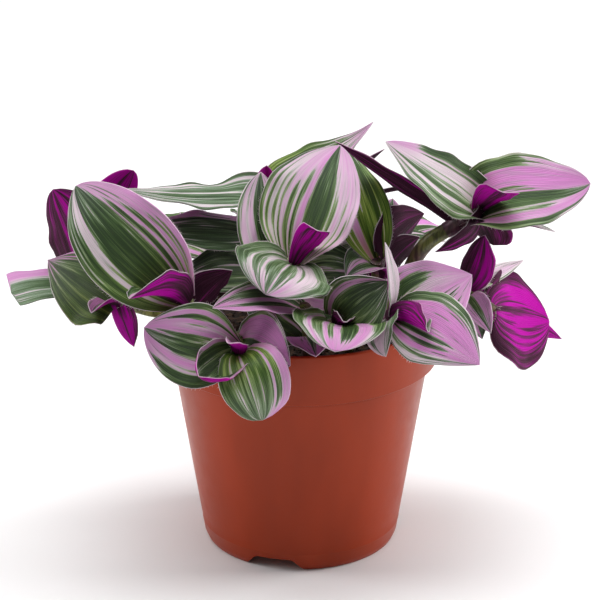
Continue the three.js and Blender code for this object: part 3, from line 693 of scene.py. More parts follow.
def plastic_material(settings):
    """Satin moulded plastic with faint flow marks, a fine orange peel, and painted shade in the
    crease under the rim band.
    """
    material, nodes, shader = new_material("terracotta plastic")
    place = nodes.place()
    flow = nodes.noise(nodes.upright(place, 0.25), scale=45, detail=3)
    colour = settings.colour
    deeper = [channel * 0.84 for channel in colour]
    moulded = nodes.mix(nodes.step(flow, 0.3, 0.7), deeper, colour)
    height = nodes.add("ShaderNodeSeparateXYZ", {"Vector": place}).outputs["Z"]
    # Painted shade: a narrow band just under the rim band's lower edge is darkened, where the
    # overhang shades the wall
    crease = settings.height - BAND_HEIGHT * MM
    crease_shade = nodes.times(nodes.step(height, crease - 0.0032, crease - 0.0008),
                        nodes.step(height, crease + 0.0003, crease - 0.0001))
    rough = nodes.add("ShaderNodeMapRange", {
        "Value": nodes.noise(place, scale=160, detail=3), "From Min": 0.3, "From Max": 0.75,
        "To Min": settings.roughness - 0.04, "To Max": settings.roughness + 0.06,
    })
    peel = nodes.bump(nodes.noise(place, scale=900, detail=1), strength=0.06, distance=0.0003)
    nodes.fill(shader, {
        "Base Color": nodes.tint(nodes.times(crease_shade, 0.5), moulded, CREASE_SHADE_TINT),
        "Roughness": rough.outputs[0],
        "Specular IOR Level": 0.18,
        "Normal": nodes.bump(flow, strength=0.05, distance=0.002, before=peel),
    })
    return material


def soil_material(settings):
    """Damp potting soil with dry fibres."""
    material, nodes, shader = new_material("potting soil")
    place = nodes.place()
    grain = nodes.noise(place, scale=420, detail=4)
    patches = nodes.noise(place, scale=90)
    mixed = nodes.times(nodes.step(grain, 0.42, 0.7), nodes.step(patches, 0.35, 0.7))
    nodes.fill(shader, {
        "Base Color": nodes.mix(mixed, settings.dark, settings.light),
        "Roughness": 0.92,
        "Normal": nodes.bump(grain, strength=0.7, distance=0.0012),
    })
    return material


def stripe_level(nodes, settings):
    """How green each point of a blade is: its broad bands, broken up along the veins."""
    blade = nodes.add("ShaderNodeUVMap", uv_map="blade").outputs[0]
    parts = nodes.add("ShaderNodeSeparateXYZ", {"Vector": blade})
    across, along = parts.outputs["X"], parts.outputs["Y"]
    seed = nodes.attribute("seed")

    def along_veins(strips, stretch, detail, whole=False):
        """Noise from -1 to 1, drawn out along the veins."""
        place = nodes.times(across, strips)
        if whole:
            place = nodes.times(nodes.calc("FLOOR", place), 0.71)
        drawn_out = nodes.vector(place, nodes.times(along, stretch), seed)
        return nodes.spread(nodes.noise(drawn_out, 1.0, detail))

    drift = along_veins(7, 1.2, detail=2)
    streak = along_veins(settings.veins, 1.9, detail=1, whole=True)
    thread = along_veins(settings.veins * 2.6, 3.4, detail=1, whole=True)
    fine = along_veins(150, 2.6, detail=2)
    loose = nodes.times(nodes.calc("ADD", 0.25, nodes.times(along, 0.4)), nodes.attribute("torn"))
    torn = nodes.times(nodes.times(thread, 0.35, plus=streak), loose)
    level = nodes.calc("ADD", nodes.attribute("leafy"), nodes.times(drift, 0.14, plus=torn))
    return across, along, level, fine, streak


def blade_relief(nodes, across, fine, settings, strength):
    """Parallel veins and the glittering skin cells of a blade, as a normal."""
    turns = nodes.times(across, settings.veins * math.pi)
    rib = nodes.calc("ABSOLUTE", nodes.calc("SINE", turns))
    veins = nodes.bump(nodes.times(fine, 0.5, plus=rib), strength, distance=0.00025)
    cells = nodes.noise(nodes.place(), scale=2600, detail=1)
    return nodes.bump(cells, strength=0.42, distance=0.0002, before=veins)


def finish_blade(nodes, shader, colour, normal, roughness, gloss):
    """Colour, relief and gloss of a blade that lets a little light through its skin."""
    nodes.fill(shader, {
        "Base Color": colour,
        "Normal": normal,
        "Roughness": roughness,
        "Specular IOR Level": gloss,
        "Subsurface Weight": 0.08,
        "Subsurface Radius": (1.0, 0.45, 0.7),
        "Subsurface Scale": 0.0014,
    })


def upper_material(settings):
    """Upper side: dark and pale green stripes on white and pink."""
    material, nodes, shader = new_material("leaf upper side")
    across, along, level, fine, streak = stripe_level(nodes, settings)
    blush, olive = nodes.attribute("blush"), nodes.attribute("olive")

    pinker = nodes.times(fine, 0.16, plus=nodes.times(streak, 0.1, plus=blush))
    pale = nodes.mix(nodes.step(pinker, 0.0, 0.95), settings.white, settings.pink)
    veiled = nodes.mix(nodes.step(level, 0.1, 0.4), pale, settings.pale_green)
    fresh = nodes.times(nodes.step(along, 0.35, 0.0), nodes.times(olive, 0.5))
    pale = nodes.tint(fresh, nodes.mix(0.35, pale, veiled), FRESH_TINT)

    depth = nodes.times(fine, 0.26, plus=nodes.times(level, 0.88))
    green = nodes.ramp(depth, [
        (0.40, settings.pale_green), (0.58, settings.mid_green), (0.95, settings.dark_green)])
    yellowed = nodes.times(nodes.step(along, 1.1, 0.0), olive)
    stain = nodes.times(nodes.step(blush, 0.3, 0.9), 0.5)
    green = nodes.mix(stain, nodes.tint(yellowed, green, OLIVE_TINT), settings.maroon)

    colour = nodes.mix(nodes.step(level, 0.35, 0.43), pale, green)
    furrow = nodes.times(nodes.step(fine, 0.2, -0.9), 0.66)
    colour = nodes.tint(furrow, colour, FURROW_TINT)
    # Painted shade: the upper side is darkened and purpled by the leaf's own amount, for leaves that
    # lie in shadow, and on a few as a darker tone
    colour = nodes.tint(nodes.attribute("deep"), colour, SHADE_AND_TONE_TINT)
    edge = nodes.times(nodes.step(nodes.attribute("margin"), 0.34, 0.12), 0.75)
    colour = nodes.mix(edge, colour, settings.white)
    normal = blade_relief(nodes, across, fine, settings, strength=0.5)
    finish_blade(nodes, shader, colour, normal, roughness=0.4, gloss=0.3)
    return material


def under_material(settings):
    """Underside: magenta, darker where the upper side is green."""
    material, nodes, shader = new_material("leaf underside")
    across, along, level, fine, streak = stripe_level(nodes, settings)
    banded = nodes.times(level, 0.52, plus=nodes.times(nodes.attribute("shade"), 0.62))
    darker = nodes.times(nodes.step(along, 0.6, 0.0), 0.3, plus=banded)
    lined = nodes.times(fine, 0.1, plus=nodes.times(streak, 0.08, plus=darker))
    between = [(a * 0.3 + b * 0.7) for a, b in zip(settings.magenta, settings.maroon)]
    deepest = [channel * 0.55 for channel in settings.maroon]
    colour = nodes.ramp(lined, [
        (0.22, settings.magenta), (0.44, between), (0.7, settings.maroon), (1.0, deepest)])
    edge = nodes.times(nodes.step(nodes.attribute("margin"), 0.36, 0.14), 0.6)
    colour = nodes.mix(edge, colour, settings.white)
    normal = blade_relief(nodes, across, fine, settings, strength=0.55)
    finish_blade(nodes, shader, colour, normal, roughness=0.55, gloss=0.05)
    return material


def stem_material(settings):
    """Juicy stem, green or flushed with purple, with fine streaks along it."""
    material, nodes, shader = new_material("juicy stem")
    place = nodes.place()
    streaks = nodes.noise(nodes.upright(place, 0.18), scale=700)
    streaked = nodes.step(streaks, 0.35, 0.65)
    green = nodes.mix(streaked, *STEM_GREENS)
    purple = nodes.mix(streaked, settings.maroon, STEM_PURPLE)
    patches = nodes.noise(place, scale=120)
    flushed = nodes.calc("ADD", nodes.attribute("flush"), nodes.calc("SUBTRACT", patches, 0.5))
    nodes.fill(shader, {
        "Base Color": nodes.mix(nodes.step(flushed, 0.2, 0.75), green, purple),
        "Roughness": 0.38,
        "Normal": nodes.bump(streaks, strength=0.3, distance=0.0003),
    })
    return material


def hair_material():
    """Thin whitish hairs."""
    material, nodes, shader = new_material("fine hair")
    tint = nodes.mix(nodes.noise(nodes.place(), scale=60), *HAIR_TINTS)
    nodes.fill(shader, {"Base Color": tint, "Roughness": 0.55})
    return material


def floor_material(settings):
    """Plain pale floor that fades into the white surround well away from the pot."""
    material, nodes, shader = new_material("pale floor")
    nodes.fill(shader, {"Base Color": (*settings.floor_colour, 1), "Roughness": 0.9})
    away = nodes.add("ShaderNodeVectorMath", {"Vector": nodes.place()}, operation="LENGTH")
    seen = nodes.add("ShaderNodeLightPath").outputs["Is Camera Ray"]
    fading = nodes.times(nodes.step(away.outputs["Value"], *FLOOR_FADE), seen)
    white = nodes.add("ShaderNodeEmission", {"Color": (1, 1, 1, 1)})
    choice = nodes.blend(fading, shader, white)
    nodes.feed(material.node_tree.nodes["Material Output"].inputs["Surface"], choice)
    return material


# Mesh helpers


def smooth_share(value, low, high):
    """Rises smoothly from 0, where the value is low, to 1, where it is high."""
    share = np.clip((np.asarray(value, float) - low) / (high - low), 0, 1)
    return share * share * (3 - 2 * share)


def unit(vectors):
    """The vectors at length 1."""
    vectors = np.asarray(vectors, float)
    return vectors / np.linalg.norm(vectors, axis=-1, keepdims=True)


def link(obj):
    """Puts an object in the scene."""
    bpy.context.scene.collection.objects.link(obj)
    return obj


def smooth_mesh(name, points, faces, material):
    """A smooth-shaded mesh object, its points in millimetres."""
    mesh = bpy.data.meshes.new(name)
    mesh.from_pydata([tuple(MM * np.asarray(p)) for p in points], [], faces)
    mesh.polygons.foreach_set("use_smooth", [True] * len(mesh.polygons))
    mesh.materials.append(material)
    mesh.update()
    return link(bpy.data.objects.new(name, mesh))


def plain_copy(obj):
    """Turns an object and its modifiers into a plain mesh."""
    depsgraph = bpy.context.evaluated_depsgraph_get()
    mesh = bpy.data.meshes.new_from_object(obj.evaluated_get(depsgraph), depsgraph=depsgraph)
    obj.modifiers.clear()
    obj.data = mesh
    return obj


def lathe(profile, segments):
    """Points and faces of a closed form turned about Z. Its profile starts and ends on the axis."""
    angles = np.arange(segments) * 2 * math.pi / segments
    rings = profile[1:-1]
    points = [(r * math.cos(a), r * math.sin(a), z) for r, z in rings for a in angles]
    low, high = len(points), len(points) + 1
    points += [(0, 0, profile[0][1]), (0, 0, profile[-1][1])]
    faces = []
    for ring in range(len(rings) - 1):
        for i in range(segments):
            a, b = ring * segments + i, ring * segments + (i + 1) % segments
            faces.append((a, b, b + segments, a + segments))
    last = (len(rings) - 1) * segments
    for i in range(segments):
        after = (i + 1) % segments
        faces.append((low, after, i))
        faces.append((high, last + i, last + after))
    return points, faces


def arc(centre, radius, start, end, count):
    """Points on an arc of a profile, angles in degrees."""
    angles = np.radians(np.linspace(start, end, count))
    return [(centre[0] + radius * math.cos(a), centre[1] + radius * math.sin(a)) for a in angles]


def cut(obj, cutters):
    """Cuts each cutter out of an object, and removes the cutters."""
    for cutter in cutters:
        modifier = obj.modifiers.new("cut", "BOOLEAN")
        modifier.operation = "DIFFERENCE"
        modifier.solver = "EXACT"
        modifier.object = cutter
    plain_copy(obj)
    for cutter in cutters:
        bpy.data.objects.remove(cutter)


def hand_over(piece, node):
    """The piece rides on the plant's body and stands for its CAD node."""
    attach(piece, BODY)
    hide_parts(node)


# Geometry node trees


def new_tree(name, inputs):
    """An empty geometry node tree, its nodes and its inputs, which have names and kinds."""
    tree = bpy.data.node_groups.new(name, "GeometryNodeTree")
    for label, kind in {"Geometry": "Geometry", **inputs}.items():
        tree.interface.new_socket(label, in_out="INPUT", socket_type="NodeSocket" + kind)
    tree.interface.new_socket("Geometry", in_out="OUTPUT", socket_type="NodeSocketGeometry")
    nodes = Nodes(tree)
    return tree, nodes, nodes.add("NodeGroupInput").outputs


def apply_tree(obj, tree, values):
    """Runs a geometry node tree on an object, with inputs by name, and keeps the plain mesh."""
    modifier = obj.modifiers.new(tree.name, "NODES")
    modifier.node_group = tree
    inputs = [item for item in tree.interface.items_tree if item.in_out == "INPUT"]
    sockets = {item.name: item.identifier for item in inputs}
    for name, value in values.items():
        modifier[sockets[name]] = value
    return plain_copy(obj)


# Pot


def pot_profile(settings):
    """The wall's outline, up the outside and down the inside, with a rounded lip. Points that lie
    close together ease the corners."""
    height, rim, wall = settings.height / MM, settings.rim_radius / MM, settings.wall / MM
    band_low = height - BAND_HEIGHT
    floor_top = FLOOR_LIFT + wall
    lip = wall * LIP_SHARE
    lip_centre = (rim - lip, height - lip)
    slope = (BODY_TOP_RADIUS - BODY_LOW_RADIUS) / (band_low - (BODY_LOW_HEIGHT + BAND_EASE))
    body = [(BODY_LOW_RADIUS + slope * (z - BODY_LOW_HEIGHT) + out, z) for z, out in MOULD_RING]
    outside = [
        (BASE_RADIUS - 3, FLOOR_LIFT),
        (BASE_RADIUS - 2.2, 0.3),
        (BASE_RADIUS - 1.9, 0),
        (BASE_RADIUS - 0.4, 0),
        (BASE_RADIUS, 0.3),
        *body,
        (BODY_TOP_RADIUS - 0.05, band_low - 1.7),
        (BODY_TOP_RADIUS + 0.1, band_low - BAND_EASE),
        (BODY_TOP_RADIUS + 0.5, band_low - 0.8),
        (BAND_LOW_RADIUS - 0.5, band_low - 0.1),
        *arc((BAND_LOW_RADIUS - 0.6, band_low + 0.55), 0.6, -60, 0, 4),
        (BAND_LOW_RADIUS + 0.12, band_low + 2),
        (rim - 0.55, height - 6.2),
    ]
    lip_roll = arc(lip_centre, lip, 0, 180, 9)
    inside = [
        (rim - 2 * lip - 0.25, height - 2 * lip),
        (BAND_LOW_RADIUS - wall, band_low + wall + 1.4),
        (BAND_LOW_RADIUS - wall - 0.6, band_low + wall + 0.5),
        (BODY_TOP_RADIUS - wall, band_low + wall - 0.6),
        (BODY_LOW_RADIUS - wall - 0.2, floor_top + 2),
        (BODY_LOW_RADIUS - wall - 2, floor_top),
    ]
    return [(0, FLOOR_LIFT), *outside, *lip_roll, *inside, (0, floor_top)]


def notch_cutter(angle, material):
    """A block with slanted ends that cuts one drain notch out of the foot ring."""
    half, top = NOTCH_WIDTH / 2, NOTCH_WIDTH / 2 - NOTCH_SLOPE
    near, far = BASE_RADIUS - 5, BASE_RADIUS + 7
    turn = math.radians(angle)
    outward = np.array((math.cos(turn), math.sin(turn), 0))
    sideways = np.array((-math.sin(turn), math.cos(turn), 0))
    right = [
        (half + NOTCH_ROUND, -1),
        (half + 0.5 * NOTCH_ROUND, 0.05),
        (half, 0.5 * NOTCH_ROUND),
        (half - 0.8 * NOTCH_SLOPE, NOTCH_HEIGHT - NOTCH_ROUND),
        (top - 0.2 * NOTCH_ROUND, NOTCH_HEIGHT - 0.35 * NOTCH_ROUND),
        (top - 1.2 * NOTCH_ROUND, NOTCH_HEIGHT),
    ]
    outline = right + [(-s, z) for s, z in reversed(right)]
    points = [
        outward * r + sideways * s + np.array((0, 0, z)) for r in (near, far) for s, z in outline]
    count = len(outline)
    sides = [(i, (i + 1) % count, count + (i + 1) % count, count + i) for i in range(count)]
    faces = [tuple(reversed(range(count))), tuple(range(count, 2 * count)), *sides]
    return smooth_mesh("notch cutter", points, faces, material)


def drain_cutter(index, material):
    """A round plug that cuts one drain hole out of the floor."""
    turn = (index + 0.5) * 2 * math.pi / DRAIN_COUNT
    low, high = DRAIN_CUT
    profile = [(0, low), (DRAIN_RADIUS, low), (DRAIN_RADIUS, high), (0, high)]
    points, faces = lathe(profile, DRAIN_SEGMENTS)
    centre = (DRAIN_CIRCLE * math.cos(turn), DRAIN_CIRCLE * math.sin(turn), 0)
    return smooth_mesh("drain cutter", [np.add(p, centre) for p in points], faces, material)


class PLANT_OT_pot(bpy.types.Operator):
    """Makes the nursery pot, with its rim band, foot notches and drain holes"""

    bl_idname = "plant.pot"
    bl_label = "Pot"

    def execute(self, context):
        settings = context.scene.plant_pot
        plastic = plastic_material(settings)
        points, faces = lathe(pot_profile(settings), POT_SEGMENTS)
        pot = smooth_mesh("nursery_pot", points, faces, plastic)
        cutters = [notch_cutter(angle, plastic) for angle in NOTCH_ANGLES]
        cutters += [drain_cutter(index, plastic) for index in range(DRAIN_COUNT)]
        cut(pot, cutters)
        pot.data.set_sharp_from_angle(angle=math.radians(POT_SHARP_ANGLE))
        hand_over(pot, "pot")
        return {"FINISHED"}


# Soil


def soil_relief(x, y):
    """Height of the soil above its level: the solid's own broad relief, with finer lumps."""
    coarse = math.sin(0.21 * x + 1.3) * math.cos(0.17 * y - 0.4)
    fine = math.sin(0.53 * x - 0.37 * y) * math.cos(0.44 * y + 0.31 * x + 2)
    lumps = noise.noise(Vector((x * 0.4, y * 0.4, 3.1)))
    clods = noise.noise(Vector((x * 0.9, y * 0.9, 7.7)))
    return SOIL_RELIEF * (0.6 * coarse + 0.4 * fine) + SOIL_LUMPS * (lumps + 0.6 * clods)


def soil_points(settings, pot):
    """The plug that fills the pot, with a relieved top."""
    level, height, wall = settings.level / MM, pot.height / MM, pot.wall / MM
    low = FLOOR_LIFT + wall + SEAT_GAP
    band_low = height - BAND_HEIGHT
    top_radius = BAND_LOW_RADIUS - wall - SEAT_GAP - 0.2
    profile = [
        (0, low),
        (BODY_LOW_RADIUS - wall - 2.6, low),
        (BODY_LOW_RADIUS - wall - 0.8, low + 3),
        (BODY_TOP_RADIUS - wall - 0.7, band_low - 1.5),
        (BODY_TOP_RADIUS - wall - 0.5, band_low + wall),
        (top_radius, band_low + wall + 2.5),
    ]
    profile += [(top_radius * ring / SOIL_RINGS, level) for ring in range(SOIL_RINGS, -1, -1)]
    points, faces = lathe(profile, SOIL_SEGMENTS)
    raised = [(x, y, z + soil_relief(x, y)) if z >= level else (x, y, z) for x, y, z in points]
    return raised, faces


def crumb_tree(material):
    """Scatters lumpy crumbs over the faces that look up."""
    inputs = {"Crumb size": "Float", "Density": "Float", "Seed": "Int"}
    tree, nodes, source = new_tree("soil crumbs", inputs)
    normal = nodes.add("GeometryNodeInputNormal").outputs[0]
    upward = nodes.add("ShaderNodeSeparateXYZ", {"Vector": normal}).outputs["Z"]
    facing = nodes.calc("GREATER_THAN", upward, 0.5)
    scattered = nodes.add("GeometryNodeDistributePointsOnFaces", {
        "Mesh": source["Geometry"], "Selection": facing, "Density": source["Density"],
        "Seed": source["Seed"],
    })
    ball = nodes.add("GeometryNodeMeshIcoSphere", {"Radius": source["Crumb size"], "Subdivisions": 1})
    turned = nodes.add("FunctionNodeRandomValue", {"Seed": source["Seed"]}, data_type="FLOAT_VECTOR")
    turned.inputs["Max"].default_value = CRUMB_TURN
    sized = nodes.add("FunctionNodeRandomValue", {"Seed": CRUMB_SCALE_SEED}, data_type="FLOAT_VECTOR")
    sized.inputs["Min"].default_value = CRUMB_LEAST
    sized.inputs["Max"].default_value = CRUMB_GREATEST
    turn = nodes.add("FunctionNodeEulerToRotation", {"Euler": turned.outputs[0]})
    crumbs = nodes.add("GeometryNodeInstanceOnPoints", {
        "Points": scattered.outputs["Points"], "Instance": ball.outputs["Mesh"],
        "Rotation": turn.outputs[0], "Scale": sized.outputs[0],
    })
    joined = nodes.add("GeometryNodeJoinGeometry")
    tree.links.new(source["Geometry"], joined.inputs[0])
    tree.links.new(crumbs.outputs[0], joined.inputs[0])
    real = nodes.add("GeometryNodeRealizeInstances", {"Geometry": joined.outputs[0]})
    painted = nodes.add("GeometryNodeSetMaterial", {
        "Geometry": real.outputs[0], "Material": material})
    nodes.add("NodeGroupOutput", {"Geometry": painted.outputs[0]})
    return tree


class PLANT_OT_soil(bpy.types.Operator):
    """Makes the soil plug and the crumbs that lie on it"""

    bl_idname = "plant.soil"
    bl_label = "Soil"

    def execute(self, context):
        settings = context.scene.plant_soil
        material = soil_material(settings)
        points, faces = soil_points(settings, context.scene.plant_pot)
        soil = smooth_mesh("potting_soil", points, faces, material)
        apply_tree(soil, crumb_tree(material), {
            "Crumb size": settings.crumb_size,
            "Density": settings.crumb_density,
            "Seed": settings.seed,
        })
        hand_over(soil, "soil")
        return {"FINISHED"}


# Shoots


def stem_point(stem, share):
    """A point on the smooth curve through a stem's points, share from 0 to 1."""
    place = min(max(share, 0), 1) * (len(stem) - 1)
    start = min(int(place), len(stem) - 2)
    rest = place - start
    before = stem[start - 1] if start > 0 else 2 * stem[0] - stem[1]
    near, far = stem[start], stem[start + 1]
    after = stem[start + 2] if start + 2 < len(stem) else 2 * stem[-1] - stem[-2]
    gaps = [np.linalg.norm(b - a) ** 0.5 for a, b in ((before, near), (near, far), (far, after))]
    middle = (far - near) / gaps[1]
    leave = ((near - before) / gaps[0] - (far - before) / (gaps[0] + gaps[1]) + middle) * gaps[1]
    reach = (middle - (after - near) / (gaps[1] + gaps[2]) + (after - far) / gaps[2]) * gaps[1]
    bend = 3 * (far - near) - 2 * leave - reach
    return near + leave * rest + bend * rest**2 + (2 * (near - far) + leave + reach) * rest**3


def blade_outline(v, clasp, taper):
    """Half the width along a blade, as a share of its greatest."""
    widest = (BASE_POWER - taper * clasp) / (BASE_POWER + taper)
    shape = (v + clasp) ** BASE_POWER * (1 - v) ** taper
    return shape / ((widest + clasp) ** BASE_POWER * (1 - widest) ** taper)


def blade_grid(width, length):
    """Places across a blade, from -1 to 1, and along it, from 0 to 1, closer at margins and tip."""
    columns = 2 * max(8, round(width / COLUMN_STEP / 2))
    rows = max(12, round(length / ROW_STEP))
    even = np.linspace(-1, 1, columns + 1)
    u = np.sin(even * math.pi / 2) * 0.45 + even * 0.55
    v = np.linspace(0, 1, rows + 1)
    return u, 0.5 * v + 0.5 * np.sin(v * math.pi / 2) ** 1.2


def midrib_curve(leaf_row, base, tip, side, v):
    """The midrib's points and directions: it rises from the stem and comes down on the tip."""
    length = np.linalg.norm(tip - base)
    along = (tip - base) / length
    out = np.cross(side, along)
    rise, fall = math.radians(leaf_row["rise"]), math.radians(leaf_row["fall"])
    handle = HANDLE * leaf_row["arch"] * length
    swing = side * leaf_row["sway"] * length
    first = base + swing + handle * (along * math.cos(rise) + out * math.sin(rise))
    second = tip + swing + handle * (out * math.sin(fall) - along * math.cos(fall))
    t = v[:, None]
    leaving = (1 - t) ** 3 * base + 3 * (1 - t) ** 2 * t * first
    points = leaving + 3 * (1 - t) * t**2 * second + t**3 * tip
    bending = 2 * (1 - t) * t * (second - first)
    return points, unit((1 - t) ** 2 * (first - base) + bending + t**2 * (tip - second))


def blade_curl(leaf_row, stem_radius, v):
    """Half the width along a blade, its curl across, and how free it is of the stem it clasps."""
    outline = blade_outline(v, leaf_row["clasp"], leaf_row["taper"])
    half = np.maximum(TIP_HALF_WIDTH, leaf_row["width"] / 2 * outline)
    clasping = min(CLASP_CURL, half[0] / (stem_radius + CLASP_ROOM))
    free = smooth_share(v, 0, CLASP_LENGTH)
    tightest = half / TIGHTEST_ROLL
    curl = np.clip(clasping + (leaf_row["cup"] - clasping) * free, -tightest, tightest)
    return half, np.where(np.abs(curl) < FLATTEST_CURL, FLATTEST_CURL, curl), free


def band_values(marks, columns, rows, seed, tip_pink):
    """How green and how pink each point of a blade is: the tones of its marks, averaged over each
    column's share of the width, with edges that wander a little along the blade."""
    bands = [mark.split() for mark in marks.split(",")]
    tones = np.array([TONES[band[0]] for band in bands])
    shares = np.cumsum([0] + [float(band[1]) for band in bands])
    edges = 2 * shares / shares[-1] - 1
    u = columns[None, :]
    v = rows[:, None]
    reach = np.array([float(band[2]) if len(band) > 2 else 2 for band in bands])
    alive = smooth_share(reach[None, :] - v, -TONE_BLUR, TONE_BLUR)
    wander = BAND_WANDER * np.sin(5.1 * v + 2.3 * seed) * np.sin(3.7 * u + seed) * (1 - u * u)
    half_cell = 0.5 * np.gradient(columns)[None, :]
    low, high = u + wander - half_cell, u + wander + half_cell
    span = np.maximum(np.clip(high, -1, 1) - np.clip(low, -1, 1), 1e-6)
    values = []
    for kind, faded in enumerate(FADED_TONE):
        weights = (faded + (tones[:, kind] - faded) * alive) * np.diff(edges)
        totals = np.concatenate([np.zeros_like(v), np.cumsum(weights, axis=1)], axis=1)
        gains = [
            np.interp(ends, edges, total) - np.interp(starts, edges, total)
            for starts, ends, total in zip(low, high, totals)]
        values.append(np.array(gains) / span)
    ending = smooth_share(v, TIP_START, 1.0) * tip_pink
    return values[0] - TIP_LOSS * ending, values[1] + (TIP_BLUSH - values[1]) * ending


class ShootMesh:
    """Gathers the points, faces and values of one shoot, in millimetres."""

    def __init__(self, settings, hair):
        self.settings = settings
        self.hair = hair
        self.points, self.faces, self.sides, self.edges = [], [], [], []
        self.corners, self.lean = [], []
        self.values = {name: [] for name in POINT_VALUES}
        self.count = 0

    def add_points(self, points, lean=None, **values):
        """Adds points with their values, and returns the number of the first."""
        points = np.asarray(points, float).reshape(-1, 3)
        self.points.append(points)
        for name, store in self.values.items():
            store.append(np.broadcast_to(np.asarray(values.get(name, 0.0), float), len(points)))
        self.lean.append(np.zeros_like(points) if lean is None else lean)
        first = self.count
        self.count += len(points)
        return first

    def add_blade(self, leaf_row, base, stem_radius, seed):
        """One leaf blade, closed, with its upper side, underside and rounded margin."""
        tip = np.array(leaf_row["tip"], float)
        length = np.linalg.norm(tip - base)
        side = unit(np.cross((tip - base) / length, leaf_row["face"]))
        u, v = blade_grid(leaf_row["width"], length)
        midrib, ahead = midrib_curve(leaf_row, base, tip, side, v)
        half, curl, free = blade_curl(leaf_row, stem_radius, v)
        across = unit(side - ahead * (ahead @ side)[:, None])
        up = np.cross(across, ahead)

        angle = u[None, :] * curl[:, None]
        roll = (half / curl)[:, None]
        sunk = CLASP_SINK * stem_radius * (1 - free)
        lift = roll * (1 - np.cos(angle)) - sunk[:, None]
        lift = lift + self.blade_waves(u, v, leaf_row["width"], seed)
        aside = (roll * np.sin(angle))[..., None]
        surface = midrib[:, None] + across[:, None] * aside + up[:, None] * lift[..., None]
        normal = up[:, None] * np.cos(angle)[..., None] - across[:, None] * np.sin(angle)[..., None]
        body = np.clip(1 - np.abs(u) ** 9, 0, 1) ** 0.5
        body = body[None, :] * (1 - 0.5 * smooth_share(v, 0.8, 1))[:, None]
        push = 0.5 * self.settings.thickness / MM * body[..., None] * normal

        leafy, blush = band_values(leaf_row["marks"], u, v, seed, leaf_row["tip_pink"])
        margin = (1 - np.abs(u))[None, :] * half[:, None]
        shared = {name: leaf_row[name] for name in ("shade", "olive", "torn", "deep")}
        shared.update(leafy=leafy.ravel(), blush=blush.ravel(), margin=margin.ravel(), seed=seed)
        self.join_sides(surface, push, u, v, shared)
        self.add_margin_hairs(surface, across, ahead, up, v, length, seed)

    def blade_waves(self, u, v, width, seed):
        """How far the wavy margins and the midrib's groove lift a blade."""
        size = min(1, width / BROAD_LEAF)
        room = np.sin(math.pi * np.clip(v, 0, 1)) ** 0.7
        flank = np.sign(u)[None, :]
        ripple = np.sin(13 * v[:, None] + 1.7 * seed + flank)
        ripple = ripple + 0.6 * np.sin(23 * v[:, None] - 2.9 * seed + 2 * flank)
        height = self.settings.margin_wave / MM * size
        wave = height * np.abs(u)[None, :] ** 3 * ripple * room[:, None]
        depth = self.settings.midrib_depth / MM * size
        groove = depth * np.exp(-((u / MIDRIB_SHARE) ** 2))[None, :]
        return wave - groove * (1 - v[:, None]) * room[:, None] ** 0.5

    def join_sides(self, surface, push, u, v, shared):
        """Upper and lower points, which share the ones on the margins, and the faces between them."""
        rows, columns = surface.shape[:2]
        upper = self.add_points(surface + push, **shared)
        lower = self.add_points(surface - push, **shared)
        grid = np.arange(rows * columns).reshape(rows, columns)
        top, bottom = grid + upper, grid + lower
        bottom[:, 0], bottom[:, -1] = top[:, 0], top[:, -1]
        uv = np.stack(np.broadcast_arrays((u[None, :] + 1) / 2, v[:, None]), axis=-1)

        def corner(j, i):
            """Where a point lies across and along the blade."""
            return (uv[j, i, 0], uv[j, i, 1])

        for j in range(rows - 1):
            for i in range(columns - 1):
                cell = ((j, i), (j, i + 1), (j + 1, i + 1), (j + 1, i))
                self.faces.append(tuple(int(top[at]) for at in cell))
                self.sides.append(0)
                self.corners += [corner(*at) for at in cell]
                self.faces.append(tuple(int(bottom[at]) for at in reversed(cell)))
                self.sides.append(1)
                self.corners += [corner(*at) for at in reversed(cell)]
        for j, flip in ((0, False), (rows - 1, True)):
            for i in range(columns - 1):
                near, far = (top[j, i], i), (top[j, i + 1], i + 1)
                rim = [near, (bottom[j, i], i), (bottom[j, i + 1], i + 1), far]
                if flip:
                    rim.reverse()
                kept = [item for k, item in enumerate(rim) if item[0] != rim[k - 1][0]]
                self.faces.append(tuple(int(item[0]) for item in kept))
                self.sides.append(0)
                self.corners += [corner(j, item[1]) for item in kept]

    def add_margin_hairs(self, surface, across, ahead, up, v, length, seed):
        """Roots of the hairs along the lower part of both margins."""
        dice = np.random.RandomState(int(seed * 100) + 7)
        spacing = self.hair.spacing / MM
        count = int(HAIRY_SHARE * length / spacing)
        for column, outward in ((0, -1), (-1, 1)):
            places = np.sort(dice.uniform(*HAIRY_STRETCH, count))
            margin = surface[:, column]
            roots = np.stack([np.interp(places, v, margin[:, axis]) for axis in range(3)], axis=-1)
            row = np.clip(np.searchsorted(v, places), 0, len(v) - 1)
            lean = unit(outward * across[row] + dice.uniform(-0.2, 0.7, (count, 1)) * ahead[row]
                        + dice.uniform(-0.2, 0.6, (count, 1)) * up[row])
            self.add_points(roots, lean, hair=self.hair.length / MM * dice.uniform(0.5, 1.2, count))

    def add_path(self, points, thick, flush):
        """A path that the node tree turns into a tube, thick being its radius at each point."""
        first = self.add_points(points, thick=thick, flush=flush)
        self.edges += [(first + i, first + i + 1) for i in range(len(points) - 1)]

